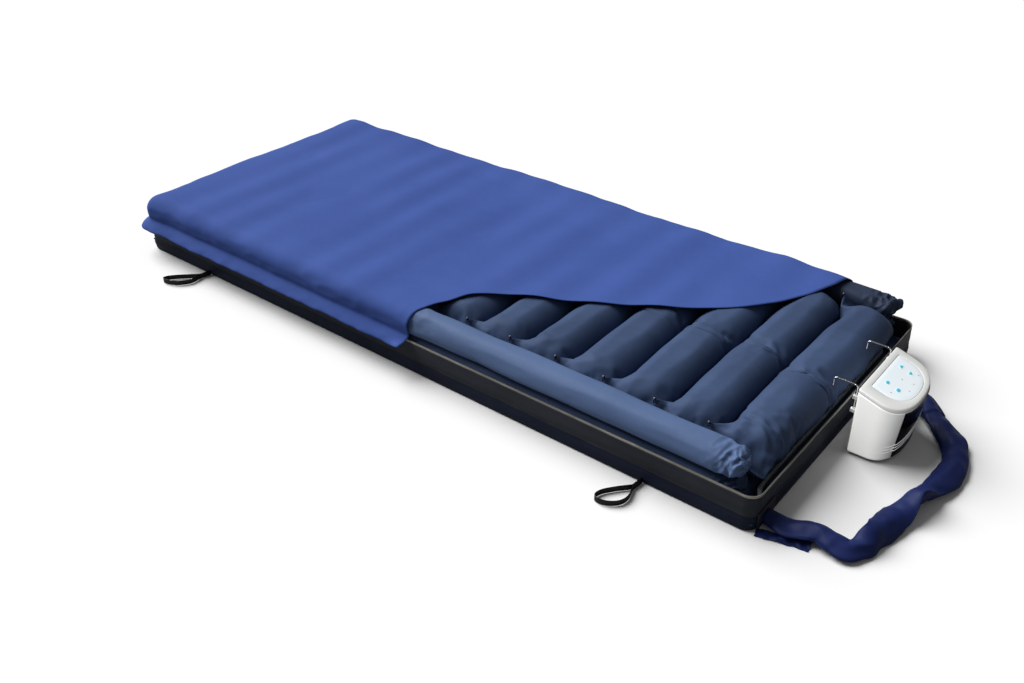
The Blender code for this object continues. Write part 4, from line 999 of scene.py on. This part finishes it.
KNOB_FINISH = plastic_finish("valve_knob_red", tone(160, 44, 40), tone(186, 84, 78), 0.38)
valve = moulded_copy("valve_body", "valve_body_moulded", DARK_PLASTIC)
knob = moulded_copy("valve_knob", "valve_knob_moulded", KNOB_FINISH, "valve_knob", 0.0008, 3)

# ---- Hose sleeve -------------------------------------------------------------------------------
# A flat navy cloth sleeve over the two air hoses. It leaves a moulded collar in the foot wall,
# lies on the floor in loose bends with a fold in it, and ends in the pump's coupling.

SLEEVE_ROUTE = (
    (1.0036, -0.371, 0.0205), (1.026, -0.371, 0.0205), (1.050, -0.372, 0.0205), (1.078, -0.363, 0.0205),
    (1.110, -0.354, 0.0205), (1.142, -0.357, 0.0205), (1.172, -0.359, 0.0205), (1.194, -0.324, 0.0205),
    (1.203, -0.262, 0.0205), (1.212, -0.192, 0.0205), (1.232, -0.100, 0.0205), (1.2475, -0.030, 0.0205),
    (1.245, 0.030, 0.0205), (1.223, 0.094, 0.0205), (1.187, 0.138, 0.0205), (1.152, 0.173, 0.0205),
    (1.124, 0.202, 0.0215), (1.100, 0.214, 0.0250), (1.085, 0.197, 0.0290), (1.085, 0.1656, 0.0290),
)
SLEEVE_HALF_WIDTH, SLEEVE_HALF_HEIGHT = 0.0295, 0.0165


def sleeve_skin(line):
    """A lens-shaped section carried along the route and rolled about it where the sleeve folds.
    Two hoses lift its top in long ridges, folded relief creases it, and each ring is let down
    until it rests on the floor."""
    way = np.gradient(line, axis=0)
    along = np.concatenate([[0], np.cumsum(np.linalg.norm(np.diff(line, axis=0), axis=1))])
    way = way / np.linalg.norm(way, axis=1, keepdims=True)
    side = np.cross(way, (0.0, 0.0, 1.0))
    side = side / np.linalg.norm(side, axis=1, keepdims=True)
    s = along[:, None]
    total = along[-1]
    turn = np.linspace(0, 2 * np.pi, 64, endpoint=False)[None]
    flatness = blend_in(s, 0.0, 0.05) * (1 - blend_in(s, total - 0.05, total))
    half_w = 0.019 + (SLEEVE_HALF_WIDTH - 0.018) * flatness
    half_w = half_w + 0.0015 * flatness * soft_waves(s, 0 * s, 0.16, 90) - 0.007 * bump(s, 0.455, 0.03)
    half_w = half_w - 0.007 * bump(s, 0.192, 0.018)
    half_h = SLEEVE_HALF_HEIGHT - 0.0015 * flatness + 0.0015 * soft_waves(s, 0 * s, 0.11, 91)
    across = np.cos(turn)
    up = np.sign(np.sin(turn)) * np.abs(np.sin(turn)) ** (1.0 + 0.35 * flatness)
    u = half_w * across
    v = half_h * up
    crease = flatness * 0.0022 * (folds(s * 0.35, turn * 0.030, 0.060, 92) - 0.75)
    crease = crease + flatness * 0.0007 * soft_waves(s, turn * 0.03, 0.05, 93)
    v = v + 0.0022 * flatness * np.cos(3.2 * across + 0.5) * (up > 0) * up + crease * up
    u = u + crease * across
    roll = 50 * bump(s, 0.40, 0.045) - 34 * bump(s, 0.235, 0.028)
    roll = np.radians(roll + 16 * flatness * soft_waves(s, 0 * s, 0.24, 94))
    u, v = u * np.cos(roll) - v * np.sin(roll), u * np.sin(roll) + v * np.cos(roll)
    resting = 0.0007 - v.min(1)
    centre_z = np.where(along < total - 0.12, resting, np.maximum(resting, line[:, 2]))
    x = line[:, None, 0] + side[:, None, 0] * u
    y = line[:, None, 1] + side[:, None, 1] * u
    z = centre_z[:, None] + v
    return skin("hose_sleeve_cloth", np.stack([x, y, z], -1), loop_columns=True, fill_ends=True)


SLEEVE_FINISH = cloth_finish(
    "sleeve_cloth", tone(22, 32, 74), tone(30, 42, 92), 0.48, 5.0, 900.0, 0.12, 0.25,
)
COLLAR_FINISH = plastic_finish("collar_moulding", tone(30, 33, 46), tone(60, 62, 74), 0.5)
sleeve_line = np.concatenate([
    np.linspace(SLEEVE_ROUTE[0], SLEEVE_ROUTE[1], 8)[:-1],
    curve_through(SLEEVE_ROUTE[1:-1], 0.0035),
    np.linspace(SLEEVE_ROUTE[-2], SLEEVE_ROUTE[-1], 10)[1:],
])
sleeve = sleeve_skin(sleeve_line)
sleeve.data.materials.append(SLEEVE_FINISH)
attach(sleeve, ROOT)
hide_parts("hose_sleeve")
coupling = moulded_copy("hose_coupling", "hose_coupling_moulded", DARK_PLASTIC, ROOT, 0.0008, 3)
collar = moulded_copy("outlet_collar", "outlet_collar_moulded", COLLAR_FINISH, ROOT, 0.0008, 3)

# ---- Hose flap ---------------------------------------------------------------------------------
# A short strip of the sleeve's cloth sewn to the tray beside the outlet. It lies on the floor,
# waved along both edges, and is left bare.

FLAP_LENGTH, FLAP_WIDTH = 0.112, 0.026
FLAP_TURN = math.radians(14)
FLAP_CLOTH = 0.0011


def flap_skin():
    """A strip along its length u and width v, lifted by waves that grow away from its sewn end."""
    low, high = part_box("hose_flap")
    start = (low.x + FLAP_WIDTH / 2 * math.sin(FLAP_TURN), low.y + FLAP_WIDTH / 2 * math.cos(FLAP_TURN))
    u, v = np.meshgrid(np.linspace(0, 1, 90), np.linspace(-1, 1, 24), indexing="ij")
    free = blend_in(u, 0.02, 0.30)
    wave = 0.0022 + 0.0030 * soft_waves(u * 0.11, v * 0.012, 0.036, 95) + 0.0014 * np.sin(26 * u + 2 * v)
    wave = np.maximum(wave, 0)
    frayed = 0.0015 * soft_waves(u * 0.11, 0 * u, 0.02, 96) * v**2
    length = u * (FLAP_LENGTH - 0.001) - 0.0035 * (1 - v) * 0.5 * blend_in(u, 0.8, 1.0)
    width = v * (FLAP_WIDTH / 2 - 0.0006) + frayed * free
    x = start[0] + length * math.cos(FLAP_TURN) - width * math.sin(FLAP_TURN)
    y = start[1] + length * math.sin(FLAP_TURN) + width * math.cos(FLAP_TURN)
    return skin("hose_flap_cloth", np.stack([x, y, 0.0016 + free * wave], -1))


flap = flap_skin()
thicken(flap, FLAP_CLOTH)
flap.data.materials.append(SLEEVE_FINISH)
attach(flap, ROOT)
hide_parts("hose_flap")

# ---- Pump case ---------------------------------------------------------------------------------
# A glossy white moulded case, a D in plan with its flat back towards the bed. It leans out towards
# the top, whose rim slopes down to the front; three swept ribs run round low on the front.

PUMP_X, PUMP_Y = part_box("pump_case")[0].x, 0.041
PUMP_HEIGHT, PUMP_SLOPE = 0.178, 0.3157
PUMP_TOP_HALF, PUMP_TOP_DEPTH = 0.106, 0.1065
PUMP_FOOT_HALF, PUMP_FOOT_DEPTH = 0.098, 0.095
PUMP_STRAIGHT, PUMP_ROUNDING = 0.43, 2.4
PUMP_BOTTOM, PUMP_WALL, LID_HEIGHT = 0.004, 0.0025, 0.010


def d_line(back, front, half, straight, shift=0.0, corner=0.004, steps=150):
    """A D in plan: flat back, round back corners, straight sides, then a superellipse front.
    back, front, half and straight may be columns of rows; gives depth and across."""
    sizes = (back, front, half, straight)
    back, front, half, straight = (np.asarray(size, float).reshape(-1, 1) for size in sizes)
    angle = np.linspace(-np.pi / 2, np.pi / 2, steps)[None]
    cosine, sine = np.maximum(np.cos(angle), 0), np.sin(angle)
    depth = straight + (front - straight) * cosine ** (2 / PUMP_ROUNDING)
    across = half * squared_off(sine, PUMP_ROUNDING)
    bend = np.linspace(0, np.pi / 2, 6)[None]
    side = np.linspace(0, 1, 12)[None, 1:]
    flat = np.linspace(1, -1, 30)[None, 1:-1]
    first = back + corner - corner * np.cos(bend), -half + corner - corner * np.sin(bend)
    run = back + corner + (straight - back - corner) * side[:, :-1], -half + 0 * side[:, :-1]
    last = back + corner - corner * np.cos(bend[:, ::-1]), half - corner + corner * np.sin(bend[:, ::-1])
    run_back = back + corner + (straight - back - corner) * side[:, :-1][:, ::-1], half + 0 * side[:, :-1]
    across_back = back + 0 * flat, (half - corner) * flat
    depth = np.concatenate([first[0], run[0], depth, run_back[0], last[0], across_back[0]], 1)
    across = np.concatenate([first[1], run[1], across, run_back[1], last[1], across_back[1]], 1)
    return depth, across + shift


def case_line(share, inset):
    """The case's outline from its foot, share 0, to its top, share 1, moved in by inset."""
    share, inset = (np.atleast_1d(np.asarray(value, float)) for value in (share, inset))
    half = PUMP_FOOT_HALF + share * (PUMP_TOP_HALF - PUMP_FOOT_HALF) - inset
    front = PUMP_FOOT_DEPTH + share * (PUMP_TOP_DEPTH - PUMP_FOOT_DEPTH) - inset
    return d_line(inset + 0 * share, front, half, PUMP_STRAIGHT * front)


def lid_height(depth):
    """Height of the sloping top at this distance from the back."""
    return PUMP_HEIGHT - PUMP_SLOPE * depth


def case_skin():
    """Outlines from a rounded foot up to the sloping rim, over it and down inside to the floor."""
    climb = np.linspace(0.04, 1.0, 40)
    share = np.concatenate([[0.0, 0.0, 0.01, 0.02, 0.03], climb, [1.0, 1.0, 0.5, 0.04, 0.0]])
    inset = np.concatenate([
        [0.05, 0.0062, 0.0028, 0.0010, 0.0003], 0 * climb, [0.0006, PUMP_WALL, PUMP_WALL, PUMP_WALL, 0.05],
    ])
    foot = np.array([0, 0, 0.0009, 0.0026, 0.0043])[:, None]
    depth, across = case_line(share, inset)
    rim = lid_height(depth) - LID_HEIGHT - 0.0004
    part = ((share - 0.04) / 0.96)[:, None]
    z = PUMP_BOTTOM + 0.006 + part * (rim - PUMP_BOTTOM - 0.006)
    z[:5] = PUMP_BOTTOM + foot
    z[-2:] = PUMP_BOTTOM + PUMP_WALL
    points = np.stack([PUMP_X + depth, PUMP_Y + across, z], -1)
    return skin("pump_case_shell", points, loop_columns=True, fill_ends=True)


PUMP_WHITE = plastic_finish(
    "pump_white_gloss", tone(238, 238, 236), tone(228, 228, 226), 0.22, 500.0, 0.0, 0.5, 0.05
)
case = case_skin()
case.data.materials.append(PUMP_WHITE)
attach(case, ROOT)
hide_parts("pump_case")


def rib_path(level, lift, reach):
    """A line on the case's face: from the near side round the front, rising by a power of the
    way along."""
    part = np.linspace(0, 1, 90)
    angle = np.radians(-66 + reach * part)
    z = level + lift * part**2.2
    share = (z - PUMP_BOTTOM) / (PUMP_HEIGHT - 0.04)
    half = PUMP_FOOT_HALF + share * (PUMP_TOP_HALF - PUMP_FOOT_HALF)
    front = PUMP_FOOT_DEPTH + share * (PUMP_TOP_DEPTH - PUMP_FOOT_DEPTH)
    straight = PUMP_STRAIGHT * front
    depth = straight + (front - straight) * np.cos(angle) ** (2 / PUMP_ROUNDING)
    across = half * squared_off(np.sin(angle), PUMP_ROUNDING)
    over = 0.0020 * blend_in(PANEL_REACH - np.abs(across), -0.004, 0.004) - 0.0002
    x, y = PUMP_X + depth + over * np.cos(angle), PUMP_Y + across + over * np.sin(angle)
    return np.stack([x, y, z], -1)


def carried_ring(name, line, radius, sides=10, up=(0.0, 0.0, 1.0)):
    """A circle carried square to a line; its radius may change along the line."""
    way = np.gradient(line, axis=0)
    way = way / np.linalg.norm(way, axis=1, keepdims=True)
    side = np.cross(way, up)
    side = side / np.linalg.norm(side, axis=1, keepdims=True)
    over = np.cross(side, way)
    turn = np.linspace(0, 2 * np.pi, sides, endpoint=False)[None, :, None]
    size = np.broadcast_to(np.asarray(radius, float), len(line))[:, None, None]
    points = line[:, None] + size * (np.cos(turn) * side[:, None] + np.sin(turn) * over[:, None])
    return skin(name, points, loop_columns=True, fill_ends=True)


PANEL_REACH = 0.067
card_lit = [case]
RIB_FINISH = plastic_finish(
    "rib_silver", tone(226, 226, 228), tone(236, 236, 238), 0.25, 500.0, 0.0, 0.3, 0.05
)
RIBS = ((0.028, 0.043, 106), (0.036, 0.046, 104), (0.044, 0.049, 102))
for number, (level, lift, reach) in enumerate(RIBS, 1):
    fade = np.sin(np.pi * np.linspace(0.02, 0.98, 90)) ** 0.5
    rib = carried_ring(f"case_rib_{number}", rib_path(level, lift, reach), 0.0010 * fade + 0.0002)
    rib.data.materials.append(RIB_FINISH)
    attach(rib, ROOT)
    card_lit.append(rib)

# ---- Front panel -------------------------------------------------------------------------------
# A glossy black moulding that wraps the rounded front of the case.


def front_skin():
    """The stretch of the case's outline within the panel's reach, stood off the case: an outer
    face and an inner face, joined round their edges by closing the rows."""
    share = np.linspace(0.05, 0.99, 40)
    depth, across = case_line(share, 0 * share)
    keep = (np.abs(across[0]) < PANEL_REACH) & (depth[0] > 0.5 * PUMP_FOOT_DEPTH)
    depth, across = depth[:, keep], across[:, keep]
    out_x, out_y = np.gradient(across, axis=1), -np.gradient(depth, axis=1)
    size = np.hypot(out_x, out_y)
    rim = lid_height(depth) - LID_HEIGHT - 0.001
    z = PUMP_BOTTOM + 0.0075 + ((share - 0.05) / 0.94)[:, None] * (rim - PUMP_BOTTOM - 0.0075)
    along = np.arange(depth.shape[1])
    edge = np.minimum(np.minimum(along, along[::-1])[None] / 2, 1)
    inner, outer = (
        np.stack([PUMP_X + depth + out_x / size * stand, PUMP_Y + across + out_y / size * stand, z], -1)
        for stand in (0.0006, 0.0008 + 0.0010 * edge)
    )
    return skin("front_panel_moulding", np.concatenate([outer, inner[::-1]]), loop_rows=True)


GLOSS_BLACK = plastic_finish(
    "front_gloss_black", tone(8, 8, 9), tone(12, 12, 13), 0.12, 400.0, 0.0, 0.0, 0.03
)
GLOSS_BLACK.node_tree.nodes["Principled BSDF"].inputs["Specular IOR Level"].default_value = 0.25
front = front_skin()
front.data.materials.append(GLOSS_BLACK)
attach(front, ROOT)
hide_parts("front_panel")

# ---- Pump lid and control panel ----------------------------------------------------------------
# A pale grey lid with a softened rim, and a pale film panel let into it. Four membrane keys with
# plain symbols stand in the film, with a few small lamps beside them.

PANEL_BACK, PANEL_FRONT, PANEL_HALF, PANEL_SHIFT = 0.015, 0.094, 0.077, 0.006
SLOPE = math.atan(PUMP_SLOPE)
KEY_PLACES = ((0.034, 0.049), (0.058, 0.047), (0.034, -0.029), (0.060, -0.031))
FILM_TOP = 0.0004


def pump_skin(name, outlines, drops):
    """Outlines stacked as rows, each let down below the sloping top by its drop."""
    depth, across = (np.concatenate(part) for part in zip(*outlines))
    z = lid_height(depth) - np.array(drops)[:, None]
    points = np.stack([PUMP_X + depth, PUMP_Y + across, z], -1)
    return skin(name, points, loop_columns=True, fill_ends=True)


def panel_line(grow):
    """The film panel's outline, moved outward by grow."""
    return d_line(PANEL_BACK - grow, PANEL_FRONT + grow, PANEL_HALF + grow, PANEL_BACK + 0.025, PANEL_SHIFT)


lid = pump_skin(
    "pump_lid_moulding",
    [case_line(1.0, inset) for inset in (0.004, 0.0002, 0.0, 0.0, 0.0004, 0.0012, 0.0024)]
    + [panel_line(grow) for grow in (0.0016, 0.0008, 0.0006, 0.0006)] + [panel_line(-0.01)],
    (0.0099, 0.0099, 0.0092, 0.0026, 0.0013, 0.0004, 0.0, 0.0, 0.0003, 0.0010, 0.0024, 0.0024),
)
lid.data.materials.append(plastic_finish(
    "lid_pale_grey", tone(198, 199, 197), tone(188, 189, 187), 0.38, 900.0, 0.0, 0.15, 0.1
))
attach(lid, ROOT)
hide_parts("pump_lid")

film = pump_skin(
    "control_panel_film",
    [panel_line(grow) for grow in (-0.01, 0.0, 0.0, -0.0004, -0.0012, -0.01)],
    (0.0021, 0.0021, 0.0010, 0.0006, FILM_TOP, FILM_TOP),
)
film.data.materials.append(plastic_finish(
    "panel_film_pale", tone(214, 222, 226), tone(206, 215, 220), 0.3, 700.0, 0.0, 0.2, 0.05
))
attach(film, ROOT)
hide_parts("control_panel")


def on_panel(depth, across, up):
    """Places given along the slope, across it and square to it, as x, y and z."""
    x = PUMP_X + depth + up * math.sin(SLOPE)
    return np.stack([x, PUMP_Y + across + 0 * x, lid_height(depth) + up * math.cos(SLOPE)], -1)


def symbol(name, outline, place, up, height, finish, body):
    """A flat raised sign: an outline in metres about its place on the panel, given a height."""
    down, across = np.array(outline, float).T
    crown = up + height * 1.3
    rows = [
        on_panel(place[0] + share * down * math.cos(SLOPE), place[1] + share * across, level)
        for share, level in ((0.02, up), (1.0, up), (1.0, up + height), (0.9, crown), (0.02, crown))
    ]
    sign = skin(name, np.stack(rows), loop_columns=True, fill_ends=True)
    sign.data.materials.append(finish)
    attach(sign, body)
    card_lit.append(sign)


def rounded_outline(half_x, half_y, power=4.0, steps=48):
    """A superellipse outline."""
    turn = np.linspace(0, 2 * np.pi, steps, endpoint=False)
    x, y = squared_off(np.cos(turn), power), squared_off(np.sin(turn), power)
    return np.stack([x * half_x, y * half_y], -1)


KEY_FINISH = plastic_finish("key_film_blue", tone(206, 228, 236), tone(216, 234, 240), 0.32, 700.0)
SIGN_FINISH = plastic_finish("sign_teal", tone(66, 168, 190), tone(96, 186, 204), 0.35, 700.0)
for number, place in enumerate(KEY_PLACES, 1):
    node = f"panel_key_{number}"
    key = moulded_copy(node, f"{node}_moulded", KEY_FINISH, f"key_{number}", 0.0007, 3)
    card_lit.append(key)
    way = 1 if number % 2 else -1
    arrow = [(-0.0042 * way, 0.0), (0.0030 * way, 0.0060), (0.0030 * way, -0.0060)]
    shape = arrow if number < 3 else rounded_outline(0.0036, 0.0056, 2.0 + 3.0 * (number == 4))
    symbol(f"{node}_sign", shape, place, 0.00035, 0.0002, SIGN_FINISH, f"key_{number}")

LAMP_RED = plastic_finish("lamp_red", tone(196, 60, 84), tone(210, 90, 110), 0.3)
LAMP_VIOLET = plastic_finish("lamp_violet", tone(150, 96, 160), tone(170, 120, 180), 0.3)
LAMP_SPOTS = ((0.072, 0.058), (0.076, 0.020), (0.052, 0.010), (0.052, -0.052), (0.078, -0.010))
for number, spot in enumerate(LAMP_SPOTS):
    symbol(
        f"panel_lamp_{number + 1}", rounded_outline(0.0013, 0.0013, 2.0, 20), spot, -FILM_TOP, 0.0004,
        LAMP_RED if number % 2 else LAMP_VIOLET, ROOT,
    )

# ---- Wire hooks --------------------------------------------------------------------------------
# Two hooks bent from bright steel wire. Each leg turns in the back plate's clips, and the arm
# reaches over the bed end with its tip turned down.

WIRE_RADIUS, HOOK_BEND, HOOK_TIP = 0.002, 0.008, 0.024
HOOK_FINISH = plastic_finish(
    "hook_bright_steel", tone(226, 226, 228), tone(200, 200, 204), 0.16, 1200.0, 1.0
)


def rounded_corners(corners, radius, steps=9):
    """The straight lines through the corners with each inner corner turned by an arc."""
    corners = np.array(corners, float)
    parts = [corners[:1]]
    for before, corner, after in zip(corners, corners[1:], corners[2:]):
        come, go = corner - before, after - corner
        come, go = come / np.linalg.norm(come), go / np.linalg.norm(go)
        turn = np.linspace(0, np.pi / 2, steps)[:, None]
        centre = corner - come * radius + go * radius
        parts.append(centre - go * radius * np.cos(turn) + come * radius * np.sin(turn))
    parts.append(corners[-1:])
    return np.concatenate(parts)


for word in ("near", "far"):
    low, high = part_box(f"wire_hook_{word}")
    leg_x, hook_y = high.x - WIRE_RADIUS, (low.y + high.y) / 2
    top, tip_x = high.z - WIRE_RADIUS, low.x + WIRE_RADIUS
    ends = ((leg_x, low.z), (leg_x, top), (tip_x, top), (tip_x, top - HOOK_TIP))
    corners = [(x, hook_y, z) for x, z in ends]
    wire = curve_through(rounded_corners(corners, HOOK_BEND), 0.0012)
    taper = 1 - 0.5 * blend_in(np.linspace(0, 1, len(wire)), 0.985, 1.0)
    hook = carried_ring(f"wire_hook_{word}_bent", wire, WIRE_RADIUS * taper, 16, (0.0, 1.0, 0.0))
    hook.data.materials.append(HOOK_FINISH)
    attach(hook, f"hook_{word}")
    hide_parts(f"wire_hook_{word}")

# ---- Pump back, feet and inside ----------------------------------------------------------------
# Back plate with its hook clips, mains inlet, rocker, rubber feet, and what the case holds. Each is
# the part's own solid, its edges rounded as moulded, turned or pressed.

RUBBER = plastic_finish("rubber_black", tone(28, 28, 28), tone(48, 48, 48), 0.8, 1400.0, 0.0, 0.0, 0.3)
STEEL = plastic_finish("pressed_steel", tone(168, 169, 172), tone(140, 141, 145), 0.35, 1400.0, 1.0)
BRASS = plastic_finish("turned_brass", tone(196, 164, 96), tone(170, 138, 76), 0.3, 1400.0, 1.0)
BOARD = plastic_finish("board_green", tone(34, 98, 58), tone(50, 120, 74), 0.45, 300.0)
REST_OF_PUMP = (
    ("back_plate", PUMP_WHITE, "pump_white", ROOT, 0.0004),
    ("mains_inlet", DARK_PLASTIC, "dark_plastic", ROOT, 0.0004),
    ("power_rocker", DARK_PLASTIC, "dark_plastic", "rocker", 0.0003),
    ("pump_foot_back", RUBBER, "rubber", ROOT, 0.0008),
    ("pump_foot_front", RUBBER, "rubber", ROOT, 0.0008),
    ("air_port", DARK_PLASTIC, "dark_plastic", ROOT, 0.0008),
    ("compressor_body", STEEL, "steel", ROOT, 0.0020),
    ("compressor_armature", BRASS, "brass", "armature", 0.0005),
    ("compressor_mount", RUBBER, "rubber", ROOT, 0.0010),
    ("distributor_motor", STEEL, "steel", ROOT, 0.0006),
    ("air_distributor", DARK_PLASTIC, "dark_plastic", ROOT, 0.0008),
    ("distributor_rotor", BRASS, "brass", "rotor", 0.0004),
    ("circuit_board", BOARD, "board", ROOT, 0.0002),
    ("air_line_a", HOSE_FINISH, "air_hose", ROOT, 0.0001),
    ("air_line_b", HOSE_FINISH, "air_hose", ROOT, 0.0001),
)
for node, finish, slot, body, edge in REST_OF_PUMP:
    piece = moulded_copy(node, f"{node}_finished", finish, body, edge)

# ---- Pump light --------------------------------------------------------------------------------
# A soft card of light that falls on the pump alone, from the near side and above, so that its
# white case stands out from its black front.

card = lamp_at("pump_card", "AREA", (0.95, -1.05, 0.95), (PUMP_X + 0.05, PUMP_Y, 0.09), 18.0)
card.data.shape = "SQUARE"
card.data.size = 0.9
lit = bpy.data.collections.new("lit_by_the_card")
for piece in (lid, film, *card_lit):
    lit.objects.link(piece)
card.light_linking.receiver_collection = lit
